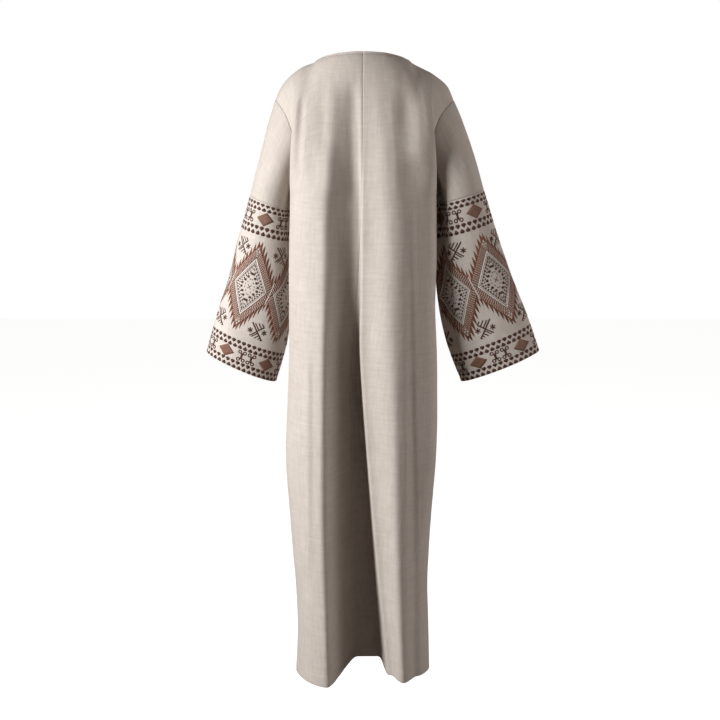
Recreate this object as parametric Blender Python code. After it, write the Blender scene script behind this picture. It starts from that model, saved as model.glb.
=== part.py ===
"""Open-front abaya cloak in its worn shape, with no wearer inside.

Metres, +Z up. The origin is at the top of the neckline at the nape.
-Y is the back of the garment, +Y is the front, +X is its right side.
"""

import math

import bpy
import numpy as np

# Driving dimensions
WALL = 0.002
SEAM_GAP = 0.0004
HEM_Z = -1.416
UNDERARM_Z = -0.290
SIDE_Y = 0.010
BOX_POWER = 3.1
BINDING_HEIGHT = 0.007
BINDING_THICK = 0.0026
BINDING_GAP = 0.0004
NAPE = (0.0, -0.083, -0.0052)
NECK_SIDE = (0.103, -0.005, -0.0225)
FRONT_NECK = (0.012, 0.098, -0.155)
ARMHOLE_MIDDLE = 0.197
UNDERARM_DIP = 0.030
UNDERARM_DIP_POWER = 4

# Share of the top edge that is neckline, and how straight the upper panels drop at the middle
BACK_NECK_SHARE = 0.50
FRONT_NECK_SHARE = 0.58
BACK_STRAIGHTNESS = 0.75
FRONT_STRAIGHTNESS = 0.35
FRONT_NECK_POWER = 1.6

# Turn from the shoulder, in degrees, over which the armhole tip follows its own arm
TIP_TURN = 60.0
# Share of the half width where the upper panels start to meet the armhole
ARMHOLE_REACH = 0.3

# Corner between neckline and shoulder seam, rounded below the seam: reach along the row as a
# share of the half width, and the share of the drop to the underarm where it is fully round
CORNER_REACH = 0.30
CORNER_DOWN = 0.14

# Sides draw in to the side seam where the cloth is this share of the depth from the middle
SIDE_DRAW_AT = 0.48
SIDE_DRAW_OVER = 0.34
WIDEST_FROM = 0.20
WIDEST_OVER = 0.30

# Folds: lean of the deep pleat, soft ends, calm strip by the side seam, fade below the neck
FOLD_LEAN = math.radians(6.0)
FOLD_END = 0.06
SIDE_CALM = 0.03
SIDE_CALM_OVER = 0.06
FOLD_FADE_FROM = 0.05
FOLD_FADE_OVER = 0.35
HEM_LIFT = 0.12
HEM_LIFT_Z = -1.15
HEM_LIFT_OVER = 0.25

# Grid counts: rows above and below the underarm, columns under the neck and the shoulder seam
UPPER_ROWS = 12
LOWER_ROWS = 16
BACK_NECK_COLUMNS = 11
FRONT_NECK_COLUMNS = 8
SHOULDER_COLUMNS = 6
SLEEVE_UPPER_ROWS = 5
SLEEVE_LOWER_ROWS = 6
SLEEVE_COLUMNS = 2 * UPPER_ROWS
FINE = 240

# Seams: smoothing of the neckline, nearness of shared points, where a seam counts as folded back
NECK_SMOOTHING = 6
SAME_PLACE = 0.00005
NEAR_ZERO = 1e-9
FOLDED_BELOW = 0.5
FOLDED_OVER = 0.3
SHORT_MEAN = 0.1

# Body width and depth: z, left half width, right half width, back depth, front depth
BODY = (
    (-0.170, 0.158, 0.160, 0.120, 0.112),
    (-0.290, 0.161, 0.162, 0.126, 0.124),
    (-0.430, 0.165, 0.163, 0.133, 0.132),
    (-0.540, 0.166, 0.161, 0.139, 0.134),
    (-0.650, 0.166, 0.166, 0.146, 0.136),
    (-0.770, 0.171, 0.168, 0.150, 0.138),
    (-0.900, 0.175, 0.166, 0.155, 0.140),
    (-1.000, 0.169, 0.159, 0.158, 0.142),
    (-1.100, 0.163, 0.153, 0.161, 0.144),
    (-1.200, 0.156, 0.149, 0.164, 0.146),
    (-1.300, 0.153, 0.152, 0.167, 0.148),
    (-1.416, 0.157, 0.155, 0.171, 0.150),
)

# Side seam: z, x to either side
SIDE_SEAM = (
    (-0.290, 0.149),
    (-0.340, 0.146),
    (-0.420, 0.143),
    (-1.416, 0.143),
)

# Shoulder seam: fraction from neck to arm, left x, right x, z
SHOULDER = (
    (0.00, 0.103, 0.103, -0.0225),
    (0.25, 0.131, 0.121, -0.032),
    (0.50, 0.157, 0.155, -0.049),
    (0.75, 0.179, 0.185, -0.073),
    (1.00, 0.194, 0.200, -0.104),
)

# Armhole over the back: turn from the shoulder, x outwards from ARMHOLE_MIDDLE, y, z
ARMHOLE_BACK = (
    (0.0, 0.000, 0.000, -0.104),
    (12.0, -0.005, -0.020, -0.108),
    (30.0, -0.022, -0.046, -0.127),
    (62.0, -0.040, -0.061, -0.165),
    (100.0, -0.047, -0.055, -0.215),
    (142.0, -0.048, -0.026, -0.260),
    (180.0, -0.048, 0.010, -0.290),
)

# Armhole over the front, with the same columns
ARMHOLE_FRONT = (
    (0.0, 0.000, 0.000, -0.104),
    (12.0, -0.005, 0.020, -0.108),
    (30.0, -0.021, 0.047, -0.127),
    (62.0, -0.037, 0.068, -0.168),
    (100.0, -0.045, 0.066, -0.222),
    (142.0, -0.048, 0.043, -0.264),
    (180.0, -0.048, 0.010, -0.290),
)

# Deep pleat down the centre back:
# z, start x, floor left x, floor right x, edge x, ridge x, depth, depth at the edge
CENTRE_FOLD = (
    (-0.030, -0.075, -0.028, -0.019, -0.002, 0.030, 0.000, 0.000),
    (-0.095, -0.076, -0.028, -0.019, -0.002, 0.036, 0.006, 0.004),
    (-0.162, -0.079, -0.026, -0.016, -0.002, 0.046, 0.012, 0.009),
    (-0.331, -0.084, -0.022, -0.012, -0.002, 0.062, 0.028, 0.020),
    (-0.540, -0.089, -0.025, -0.016, -0.006, 0.065, 0.050, 0.028),
    (-0.646, -0.091, -0.027, -0.018, -0.008, 0.070, 0.075, 0.032),
    (-0.754, -0.092, -0.025, -0.016, -0.002, 0.075, 0.095, 0.035),
    (-0.864, -0.093, -0.023, -0.010, 0.006, 0.080, 0.105, 0.038),
    (-0.975, -0.094, -0.022, -0.003, 0.015, 0.083, 0.110, 0.040),
    (-1.088, -0.092, -0.023, 0.003, 0.025, 0.088, 0.118, 0.042),
    (-1.203, -0.088, -0.024, 0.009, 0.036, 0.091, 0.125, 0.046),
    (-1.319, -0.084, -0.026, 0.016, 0.048, 0.094, 0.130, 0.048),
    (-1.416, -0.080, -0.027, 0.022, 0.056, 0.097, 0.134, 0.050),
)

# Small back folds: z top, z bottom, x top, x bottom, half width, depth top, depth bottom
BACK_FOLDS = (
    (-0.070, -0.340, 0.088, 0.101, 0.032, 0.007, 0.004),
    (-0.080, -0.330, 0.132, 0.142, 0.026, -0.004, -0.003),
    (-0.070, -0.310, -0.128, -0.146, 0.013, 0.004, 0.003),
    (-0.200, -1.500, 0.126, 0.130, 0.060, 0.010, 0.024),
    (-0.300, -1.500, 0.100, 0.118, 0.016, 0.003, 0.008),
    (-0.250, -1.500, -0.104, -0.100, 0.052, -0.006, -0.008),
    (-0.640, -1.180, -0.121, -0.124, 0.012, -0.003, -0.003),
)

# Front folds: z top, z bottom, x top, x bottom, half width, depth top, depth bottom
FRONT_FOLDS = (
    (-0.330, -1.700, -0.076, -0.080, 0.046, 0.000, 0.052),
    (-0.380, -1.700, 0.070, 0.078, 0.046, 0.000, 0.056),
)

# Centre-back seam: z, x
BACK_SEAM = (
    (-0.005, 0.000),
    (-0.315, -0.004),
    (-0.500, -0.012),
    (-0.690, -0.028),
    (-1.035, -0.030),
    (-1.154, -0.040),
    (-1.416, -0.042),
)

# Front edge: z, x to either side
FRONT_EDGE = (
    (-0.155, 0.012),
    (-0.600, 0.015),
    (-1.416, 0.026),
)

# Sleeves: distance along, outer x, outer z, inner x, inner z, half depth.
# Distance 0 is the armhole, 1 the panel seam and 2 the cuff.
SLEEVE_LEFT = (
    (0.00, 0.194, -0.104, 0.149, -0.290, 0.060),
    (0.25, 0.208, -0.147, 0.153, -0.300, 0.062),
    (0.50, 0.220, -0.191, 0.156, -0.314, 0.064),
    (0.75, 0.236, -0.250, 0.158, -0.329, 0.065),
    (1.00, 0.253, -0.313, 0.159, -0.345, 0.066),
    (1.25, 0.280, -0.404, 0.160, -0.440, 0.063),
    (1.50, 0.303, -0.494, 0.164, -0.545, 0.060),
    (1.75, 0.333, -0.584, 0.173, -0.645, 0.058),
    (2.00, 0.358, -0.669, 0.200, -0.738, 0.056),
)
SLEEVE_RIGHT = (
    (0.00, 0.200, -0.104, 0.149, -0.290, 0.060),
    (0.25, 0.219, -0.146, 0.153, -0.300, 0.061),
    (0.50, 0.236, -0.190, 0.156, -0.311, 0.062),
    (0.75, 0.254, -0.244, 0.158, -0.322, 0.062),
    (1.00, 0.270, -0.300, 0.159, -0.333, 0.061),
    (1.25, 0.300, -0.392, 0.162, -0.436, 0.056),
    (1.50, 0.333, -0.485, 0.170, -0.545, 0.051),
    (1.75, 0.372, -0.578, 0.192, -0.650, 0.047),
    (2.00, 0.404, -0.667, 0.226, -0.739, 0.044),
)

# Valley down the back of each sleeve, beside the body: distance along, where it starts and is
# full in degrees round the ring, left then right, share of the depth it takes, left and right
SLEEVE_VALLEY = (
    (0.00, 128.0, 150.0, 116.0, 136.0, 0.00, 0.00),
    (0.15, 128.0, 150.0, 114.0, 134.0, 0.20, 0.32),
    (0.40, 130.0, 152.0, 116.0, 136.0, 0.50, 0.82),
    (1.00, 130.0, 154.0, 121.0, 139.0, 0.56, 0.86),
    (1.50, 132.0, 160.0, 130.0, 150.0, 0.34, 0.60),
    (2.00, 140.0, 170.0, 140.0, 165.0, 0.00, 0.00),
)

# Colours: linear red, green, blue
CLOTH = (0.600, 0.535, 0.470)
PANEL = (0.520, 0.420, 0.350)
BINDING = (0.560, 0.495, 0.430)
ROUGHNESS = 0.85


def smooth(t):
    """Ease from 0 to 1."""
    t = np.clip(t, 0.0, 1.0)
    return t * t * (3.0 - 2.0 * t)


def follow(table, column, at):
    """Smooth curve through one column of a table, by its first column."""
    rows = sorted(table)
    keys = np.array([row[0] for row in rows])
    values = np.array([row[column] for row in rows])
    steps = np.diff(keys)
    slopes = np.diff(values) / steps
    tangents = np.empty(len(values))
    tangents[0] = slopes[0]
    tangents[-1] = slopes[-1]
    weights = steps[:-1] + steps[1:]
    tangents[1:-1] = (steps[:-1] * slopes[1:] + steps[1:] * slopes[:-1]) / weights
    at = np.clip(np.asarray(at, dtype=float), keys[0], keys[-1])
    cell = np.clip(np.searchsorted(keys, at, side="right") - 1, 0, len(steps) - 1)
    t = (at - keys[cell]) / steps[cell]
    low, high = values[cell], values[cell + 1]
    low_pull = tangents[cell] * steps[cell]
    high_pull = tangents[cell + 1] * steps[cell]
    return (low + (high - low) * smooth(t) + low_pull * t * (1.0 - t) ** 2
            - high_pull * t * t * (1.0 - t))


def fold_depth(folds, x, z):
    """Inward push of the small folds."""
    push = np.zeros_like(x)
    for top, bottom, x_top, x_bottom, half, depth_top, depth_bottom in folds:
        along = np.clip((top - z) / (top - bottom), 0.0, 1.0)
        middle = x_top + (x_bottom - x_top) * along
        depth = depth_top + (depth_bottom - depth_top) * along
        ends = smooth((top - z) / FOLD_END) * smooth((z - bottom) / FOLD_END)
        across = np.clip(1.0 - np.abs(x - middle) / half, 0.0, 1.0)
        push += depth * ends * smooth(across)
    return push


def centre_depth(x, z):
    """Inward push of the deep centre-back pleat."""
    start, left, right, edge, ridge, depth, at_edge = [
        follow(CENTRE_FOLD, column, z) for column in range(1, 8)]
    down = depth * smooth((x - start) / (left - start))
    flank = depth + (at_edge - depth) * smooth((x - right) / (edge - right))
    crown = at_edge * (1.0 - smooth((x - edge) / (ridge - edge)))
    push = np.where(x < left, down, depth)
    push = np.where(x > right, flank, push)
    return np.where(x > edge, crown, push)


def section(z, facing):
    """Body outline at height z: facing -1 is the back, +1 the front."""
    angle = np.linspace(-math.pi / 2, math.pi / 2, 2 * FINE + 1)
    bend = np.sin(angle)
    depth = follow(BODY, 3 if facing < 0 else 4, z)
    side_x = follow(SIDE_SEAM, 1, z)
    if facing < 0:
        half = np.where(angle < 0, follow(BODY, 1, z), follow(BODY, 2, z))
    else:
        half = np.full_like(angle, side_x)
    x = np.sign(bend) * half * np.abs(bend) ** (2.0 / BOX_POWER)
    reach = np.cos(angle).clip(0.0, 1.0) ** (2.0 / BOX_POWER)
    y = SIDE_Y + facing * (depth - facing * SIDE_Y) * reach
    pinch = smooth((SIDE_DRAW_AT - np.abs(y) / depth) / SIDE_DRAW_OVER)
    x -= np.sign(bend) * (half - side_x) * pinch
    for side in (-1, 1):
        mine = side * x > 0
        widest = np.max(side * x[mine])
        bump = smooth((np.abs(y[mine]) / depth - WIDEST_FROM) / WIDEST_OVER)
        x[mine] *= 1.0 + (half[mine] / widest - 1.0) * bump
    return np.stack([x, y, np.full_like(x, float(z))], axis=1)


def lengths(points):
    """Distance along a line of points."""
    steps = np.linalg.norm(np.diff(points, axis=0), axis=1)
    return np.concatenate([[0.0], np.cumsum(steps)])


def at_length(points, along, wanted):
    """Points at given distances along a line."""
    return np.stack([np.interp(wanted, along, points[:, k]) for k in range(3)], axis=1)


def armhole(side, angles):
    """Points of the armhole loop at angles in degrees, over the back and on round the front."""
    angles = np.asarray(angles, dtype=float) % 360.0
    over_back = angles <= 180.0
    down = np.where(over_back, angles, 360.0 - angles)
    point = [np.where(over_back, follow(ARMHOLE_BACK, k, down), follow(ARMHOLE_FRONT, k, down))
             for k in (1, 2, 3)]
    tip = SHOULDER[-1][1] if side < 0 else SHOULDER[-1][2]
    tip_share = smooth(1.0 - down / TIP_TURN)
    x = side * (ARMHOLE_MIDDLE + point[0] + (tip - ARMHOLE_MIDDLE) * tip_share)
    return np.stack([x, point[1], point[2]], axis=1)


def neck_share(facing):
    """Share of the top edge that is neckline."""
    return BACK_NECK_SHARE if facing < 0 else FRONT_NECK_SHARE


def top_edge(facing, fractions):
    """Neckline and shoulder seam, by signed fraction from the middle to the arm."""
    split = neck_share(facing)
    size = np.abs(fractions)
    side = np.where(fractions < 0, -1.0, 1.0)
    middle = NAPE if facing < 0 else FRONT_NECK
    turn = np.clip(size / split, 0.0, 1.0) * math.pi / 2
    x = middle[0] + (NECK_SIDE[0] - middle[0]) * np.sin(turn)
    y = NECK_SIDE[1] + (middle[1] - NECK_SIDE[1]) * np.cos(turn)
    rise = 1.0 - np.cos(turn) if facing < 0 else np.sin(turn) ** FRONT_NECK_POWER
    z = middle[2] + (NECK_SIDE[2] - middle[2]) * rise
    along = np.clip((size - split) / (1.0 - split), 0.0, 1.0)
    seam_x = np.where(side < 0, follow(SHOULDER, 1, along), follow(SHOULDER, 2, along))
    on_seam = size >= split
    x = np.where(on_seam, seam_x, x)
    y = np.where(on_seam, NECK_SIDE[1] * (1.0 - along), y)
    z = np.where(on_seam, follow(SHOULDER, 3, along), z)
    return np.stack([side * x, y, z], axis=1)


def upper_row(facing, down, chest, fractions):
    """Row between the top edge (0) and the underarm (1)."""
    top = round_corner(top_edge(facing, fractions), fractions, facing, down)
    straight = BACK_STRAIGHTNESS if facing < 0 else FRONT_STRAIGHTNESS
    round_over = straight + (1.0 - straight) * smooth(np.abs(fractions) / neck_share(facing))
    corner = np.column_stack([chest[:, :2], top[:, 2]])
    corner = corner * round_over[:, None] + (top + chest) / 2 * (1.0 - round_over[:, None])
    row = (1 - down) ** 2 * top + 2 * down * (1 - down) * corner + down ** 2 * chest
    turn = 180.0 * down if facing < 0 else 360.0 - 180.0 * down
    for side in (-1, 1):
        end = 0 if side < 0 else -1
        miss = armhole(side, [turn])[0] - row[end]
        near = smooth((side * fractions - ARMHOLE_REACH) / (1.0 - ARMHOLE_REACH))
        row = row + near[:, None] * miss
    return row


def push_folds(row, facing, fade):
    """Lay the folds into a row."""
    x, z = row[:, 0], row[:, 2]
    off_side = smooth((np.abs(row[:, 1] - SIDE_Y) - SIDE_CALM) / SIDE_CALM_OVER)
    moved = row.copy()
    if facing < 0:
        deep = centre_depth(x, z)
        push = (deep + fold_depth(BACK_FOLDS, x, z)) * fade * off_side
        moved[:, 0] += push * math.sin(FOLD_LEAN)
        moved[:, 1] += push * math.cos(FOLD_LEAN)
        moved[:, 2] += HEM_LIFT * deep * smooth((HEM_LIFT_Z - z) / HEM_LIFT_OVER)
    else:
        moved[:, 1] -= fold_depth(FRONT_FOLDS, x, z) * fade * off_side
    return moved


def body_rows(facing):
    """All fine rows of the back or the front, from the shoulder to the hem."""
    chest = section(UNDERARM_Z, facing)
    along = lengths(chest)
    left = along[:FINE] / along[FINE] - 1.0
    right = (along[FINE:] - along[FINE]) / (along[-1] - along[FINE])
    fractions = np.concatenate([left, right])
    dip = UNDERARM_DIP * (1.0 - fractions ** UNDERARM_DIP_POWER)
    chest[:, 2] -= dip
    rows = []
    for down in np.linspace(0.0, 1.0, UPPER_ROWS + 1):
        row = upper_row(facing, down, chest, fractions)
        fade = smooth((down - FOLD_FADE_FROM) / FOLD_FADE_OVER)
        rows.append(push_folds(row, facing, fade))
    for down in np.linspace(0.0, 1.0, LOWER_ROWS + 1)[1:]:
        row = section(UNDERARM_Z + (HEM_Z - UNDERARM_Z) * down, facing)
        row[:, 2] -= dip * (1.0 - down)
        rows.append(push_folds(row, facing, 1.0))
    return rows


def round_corner(row, fractions, facing, down):
    """Top edge as the rows below it see it: its corner at the neck side is rounded."""
    window = np.hanning(int(CORNER_REACH * FINE) + 2)[1:-1]
    window /= window.sum()
    margin = len(window) // 2
    padded = np.pad(row, ((margin, len(window) - 1 - margin), (0, 0)), mode="edge")
    soft = np.stack([np.convolve(padded[:, k], window, mode="valid") for k in range(3)], axis=1)
    near = smooth(1.0 - np.abs(np.abs(fractions) - neck_share(facing)) / CORNER_REACH)
    return row + (soft - row) * (near * smooth(down / CORNER_DOWN))[:, None]


def top_points(facing, side, neck_columns):
    """Points of the top edge of one half: even along the neck, then along the shoulder."""
    split = neck_share(facing)
    neck = top_edge(facing, side * np.linspace(NEAR_ZERO, split, FINE))
    along = lengths(neck)
    neck = at_length(neck, along, np.linspace(0.0, along[-1], neck_columns + 1))
    steps = np.arange(1, SHOULDER_COLUMNS + 1) / SHOULDER_COLUMNS
    return np.concatenate([neck, top_edge(facing, side * (split + (1.0 - split) * steps))])


def half_grid(facing, side):
    """Grid of one half of the back or the front, from the middle outwards."""
    neck_columns = BACK_NECK_COLUMNS if facing < 0 else FRONT_NECK_COLUMNS
    top = top_points(facing, side, neck_columns)
    top_share = lengths(top) / lengths(top)[-1]
    even = np.linspace(0.0, 1.0, len(top))
    near_middle = slice(FINE - FINE // 4, FINE + FINE // 4)
    grid = [top]
    for number, row in enumerate(body_rows(facing)[1:], start=1):
        level = row[FINE, 2]
        cut = side * follow(BACK_SEAM, 1, level) if facing < 0 else follow(FRONT_EDGE, 1, level)
        line = row if side > 0 else row[::-1]
        along = lengths(line)
        begin = np.interp(cut, side * line[near_middle, 0], along[near_middle])
        share = top_share + (even - top_share) * smooth(number / UPPER_ROWS)
        grid.append(at_length(line, along, begin + share * (along[-1] - begin)))
    return np.array(grid)


def sleeve_ring(side, distance, angles):
    """One ring of a sleeve; angle 0 is the outer line, 90 the back."""
    table = SLEEVE_LEFT if side < 0 else SLEEVE_RIGHT
    outer_x, outer_z, inner_x, inner_z, deep = [
        float(follow(table, column, distance)) for column in range(1, 6)]
    begins, full, share = [float(follow(SLEEVE_VALLEY, column, distance))
                           for column in ((1, 2, 5) if side < 0 else (3, 4, 6))]
    turn = np.radians(angles)
    middle_y = SIDE_Y * 0.5 * (1.0 - min(distance, 1.0))
    outer = np.array([side * outer_x, middle_y, outer_z])
    inner = np.array([side * inner_x, middle_y, inner_z])
    middle = (outer + inner) / 2
    ring = middle + np.outer(np.cos(turn), outer - middle)
    valley = share * smooth((angles - begins) / (full - begins)) * (angles < 180.0)
    ring[:, 1] -= deep * np.sin(turn) * (1.0 - valley)
    return ring


def sleeve_grid(side, distances):
    """Rings of a sleeve between two distances."""
    angles = np.arange(SLEEVE_COLUMNS) * 360.0 / SLEEVE_COLUMNS
    loop = armhole(side, angles)
    start = sleeve_ring(side, 0.0, angles)
    grid = []
    for distance in distances:
        ring = sleeve_ring(side, distance, angles)
        ring += (loop - start) * (1.0 - smooth(distance))
        grid.append(ring)
    return np.array(grid)


def grid_normals(grid, closed):
    """Unit normals of a grid."""
    down = np.gradient(grid, axis=0)
    if closed:
        across = np.roll(grid, -1, axis=1) - np.roll(grid, 1, axis=1)
    else:
        across = np.gradient(grid, axis=1)
    normals = np.cross(across, down)
    return normals / np.linalg.norm(normals, axis=2, keepdims=True)


def border_of(grid, closed):
    """Row and column numbers of the edge points."""
    rows, columns = grid.shape[:2]
    found = [(row, column) for row in (0, rows - 1) for column in range(columns)]
    if not closed:
        found += [(row, column) for row in range(1, rows - 1) for column in (0, columns - 1)]
    return found


def share_normals(panels):
    """Average the normals where panels meet at a seam."""
    entries = [(panel, spot) for panel in panels for spot in panel["border"]]
    places = np.array([panel["grid"][spot] for panel, spot in entries])
    normals = np.array([panel["normals"][spot] for panel, spot in entries])
    for number, (panel, spot) in enumerate(entries):
        near = np.linalg.norm(places - places[number], axis=1) < SAME_PLACE
        mean = normals[near].mean(axis=0)
        size = np.linalg.norm(mean)
        own = 1.0 - smooth((size - FOLDED_BELOW) / FOLDED_OVER)
        normal = own * normals[number] + (1.0 - own) * mean / max(size, SHORT_MEAN)
        panel["seam_normals"][spot] = normal / np.linalg.norm(normal)
        panel["folded_back"][spot] = own


def edge_move(panel, spot, run, step):
    """Direction from a seam into its own panel, square to the seam plane."""
    move = np.cross(run, panel["seam_normals"][spot])
    move /= np.linalg.norm(move)
    if move.dot(step) < 0:
        move = -move
    return move - panel["folded_back"][spot] * panel["normals"][spot]


def open_seams(panel):
    """Draw the edges of a panel back by half the seam gap."""
    grid, closed = panel["grid"], panel["closed"]
    moved = grid.copy()
    rows, columns = grid.shape[:2]
    for row, column in panel["border"]:
        spot = (row, column)
        if row in (0, rows - 1):
            if closed:
                run = grid[row, (column + 1) % columns] - grid[row, column - 1]
            else:
                run = grid[row, min(column + 1, columns - 1)] - grid[row, max(column - 1, 0)]
            step = grid[row + (1 if row == 0 else -1), column] - grid[spot]
            moved[spot] += edge_move(panel, spot, run, step) * SEAM_GAP / 2
        if not closed and column in (0, columns - 1):
            run = grid[min(row + 1, rows - 1), column] - grid[max(row - 1, 0), column]
            step = grid[row, column + (1 if column == 0 else -1)] - grid[spot]
            moved[spot] += edge_move(panel, spot, run, step) * SEAM_GAP / 2
    for spot in panel["border"]:
        panel["normals"][spot] = panel["seam_normals"][spot]
    panel["grid"] = moved


def material(name, colour):
    """Plain cloth material."""
    made = bpy.data.materials.new(name)
    made.use_nodes = True
    shader = made.node_tree.nodes["Principled BSDF"]
    shader.inputs["Base Color"].default_value = (*colour, 1.0)
    shader.inputs["Roughness"].default_value = ROUGHNESS
    shader.inputs["Metallic"].default_value = 0.0
    return made


def add_object(name, points, faces, flat_from, colour):
    """Make one closed body; the faces from flat_from on are the cut edges."""
    mesh = bpy.data.meshes.new(name)
    mesh.from_pydata([tuple(float(v) for v in point) for point in points], [], faces)
    for number, polygon in enumerate(mesh.polygons):
        polygon.use_smooth = number < flat_from
    mesh.materials.append(material(name + "_cloth", colour))
    made = bpy.data.objects.new(name, mesh)
    bpy.context.scene.collection.objects.link(made)


def signed_volume(points, faces):
    """Volume inside a closed mesh, negative if its faces point in."""
    total = 0.0
    for face in faces:
        first = points[face[0]]
        for k in range(1, len(face) - 1):
            total += np.dot(first, np.cross(points[face[k]], points[face[k + 1]]))
    return total / 6.0


def build_shell(name, outer, inner, closed, colour):
    """Closed body between an outer and an inner grid."""
    rows, columns = outer.shape[:2]
    points = np.concatenate([outer.reshape(-1, 3), inner.reshape(-1, 3)])
    under = rows * columns
    last = columns if closed else columns - 1

    def at(row, column):
        return row * columns + column % columns

    faces = []
    for row in range(rows - 1):
        for column in range(last):
            a, b = at(row, column), at(row, column + 1)
            c, d = at(row + 1, column + 1), at(row + 1, column)
            if np.linalg.norm(points[a] - points[c]) < np.linalg.norm(points[b] - points[d]):
                halves = ([a, b, c], [a, c, d])
            else:
                halves = ([a, b, d], [b, c, d])
            for half in halves:
                faces.append(half)
                faces.append([under + k for k in reversed(half)])
    flat_from = len(faces)
    for column in range(last):
        a, b = at(0, column), at(0, column + 1)
        faces.append([b, a, under + a, under + b])
        a, b = at(rows - 1, column), at(rows - 1, column + 1)
        faces.append([a, b, under + b, under + a])
    if not closed:
        for row in range(rows - 1):
            a, b = at(row, 0), at(row + 1, 0)
            faces.append([a, b, under + b, under + a])
            a, b = at(row, columns - 1), at(row + 1, columns - 1)
            faces.append([b, a, under + a, under + b])
    if signed_volume(points, faces) < 0:
        faces = [list(reversed(face)) for face in faces]
    add_object(name, points, faces, flat_from, colour)


def neck_path(panels):
    """Neckline points of each panel, from one front edge over the nape to the other."""
    path = []
    for name in ("front_left", "back_left", "back_right", "front_right"):
        columns = BACK_NECK_COLUMNS if "back" in name else FRONT_NECK_COLUMNS
        spots = [(panels[name], (0, column)) for column in range(columns + 1)]
        path.append(spots if name in ("front_left", "back_right") else spots[::-1])
    return path


def smooth_neck(panels):
    """Let the normals turn evenly along the neckline."""
    path = neck_path(panels)
    joined = path[0] + [spot for stretch in path[1:] for spot in stretch[1:]]
    normals = np.array([panel["seam_normals"][spot] for panel, spot in joined])
    for repeat in range(NECK_SMOOTHING):
        spread = (normals[:-2] + 2.0 * normals[1:-1] + normals[2:]) / 4.0
        normals[1:-1] = spread / np.linalg.norm(spread, axis=1, keepdims=True)
    first = 0
    for stretch in path:
        for step, (panel, spot) in enumerate(stretch):
            panel["seam_normals"][spot] = normals[first + step]
        first += len(stretch) - 1
    line = np.array([panel["grid"][spot] for panel, spot in joined])
    return line, normals


def build_binding(line, outs):
    """Narrow band that stands on the neckline, open at the front."""
    run = np.gradient(line, axis=0)
    up = np.cross(outs, run)
    up /= np.linalg.norm(up, axis=1, keepdims=True)
    low = line + up * BINDING_GAP
    rounding = BINDING_THICK / 4
    profile = (
        (0.0, 0.0),
        (BINDING_HEIGHT - rounding, 0.0),
        (BINDING_HEIGHT, rounding),
        (BINDING_HEIGHT, BINDING_THICK - rounding),
        (BINDING_HEIGHT - rounding, BINDING_THICK),
        (0.0, BINDING_THICK),
    )
    loops = np.array([low + up * height - outs * inset for height, inset in profile])
    count, length = loops.shape[:2]
    points = loops.reshape(-1, 3)
    faces = []
    for k in range(count):
        for step in range(length - 1):
            a, b = k * length + step, ((k + 1) % count) * length + step
            faces.append([a, a + 1, b + 1, b])
    flat_from = len(faces)
    faces.append([k * length for k in range(count)])
    faces.append([k * length + length - 1 for k in reversed(range(count))])
    if signed_volume(points, faces) < 0:
        faces = [list(reversed(face)) for face in faces]
    add_object("neck_binding", points, faces, flat_from, BINDING)


def main():
    """Build every panel of the cloak."""
    for old in list(bpy.data.objects):
        bpy.data.objects.remove(old, do_unlink=True)
    upper = np.linspace(0.0, 1.0, SLEEVE_UPPER_ROWS + 1)
    lower = np.linspace(1.0, 2.0, SLEEVE_LOWER_ROWS + 1)
    panels = {
        "back_left": {"grid": half_grid(-1, -1), "closed": False},
        "back_right": {"grid": half_grid(-1, 1), "closed": False},
        "front_left": {"grid": half_grid(1, -1), "closed": False},
        "front_right": {"grid": half_grid(1, 1), "closed": False},
        "sleeve_upper_left": {"grid": sleeve_grid(-1, upper), "closed": True},
        "sleeve_upper_right": {"grid": sleeve_grid(1, upper), "closed": True},
        "sleeve_lower_left": {"grid": sleeve_grid(-1, lower), "closed": True},
        "sleeve_lower_right": {"grid": sleeve_grid(1, lower), "closed": True},
    }
    for panel in panels.values():
        grid, closed = panel["grid"], panel["closed"]
        normals = grid_normals(grid, closed)
        middle = grid.mean(axis=(0, 1)) if closed else np.array([0.0, SIDE_Y, 0.0])
        away = (grid - middle) * (1.0, 1.0, 0.0)
        if (normals * away).sum() < 0:
            normals = -normals
        panel["normals"] = normals
        panel["border"] = border_of(grid, closed)
        panel["seam_normals"] = normals.copy()
        panel["folded_back"] = np.zeros(grid.shape[:2])
    share_normals(panels.values())
    line, outs = smooth_neck(panels)
    for name, panel in panels.items():
        open_seams(panel)
        inner = panel["grid"] - panel["normals"] * WALL
        colour = PANEL if "lower" in name else CLOTH
        build_shell(name, panel["grid"], inner, panel["closed"], colour)
    build_binding(line, outs)


main()
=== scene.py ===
"""Looks of the open-front abaya cloak: linen cloth, seams, stitching and embroidered sleeves.

The geometry repeats the CAD part's functions and tables on a finer grid.
Metres, +Z up, in the CAD frame: the origin is at the nape, -Y is the back.
"""

import math

import bpy
import numpy as np
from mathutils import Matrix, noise


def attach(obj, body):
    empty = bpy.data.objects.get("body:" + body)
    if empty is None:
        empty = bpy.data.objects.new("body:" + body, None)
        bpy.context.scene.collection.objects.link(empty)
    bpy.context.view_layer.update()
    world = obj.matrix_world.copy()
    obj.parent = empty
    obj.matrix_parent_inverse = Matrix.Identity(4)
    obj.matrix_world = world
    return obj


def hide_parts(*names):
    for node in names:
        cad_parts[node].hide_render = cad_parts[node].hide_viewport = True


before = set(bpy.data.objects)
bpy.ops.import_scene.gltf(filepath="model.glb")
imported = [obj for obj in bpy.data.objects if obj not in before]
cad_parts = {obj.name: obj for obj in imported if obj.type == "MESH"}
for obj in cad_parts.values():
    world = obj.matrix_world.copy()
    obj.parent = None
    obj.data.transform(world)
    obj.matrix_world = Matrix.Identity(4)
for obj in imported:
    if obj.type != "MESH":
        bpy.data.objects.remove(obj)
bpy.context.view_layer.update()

# Driving dimensions of the garment
CLOTH_THICK = 0.0012
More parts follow.
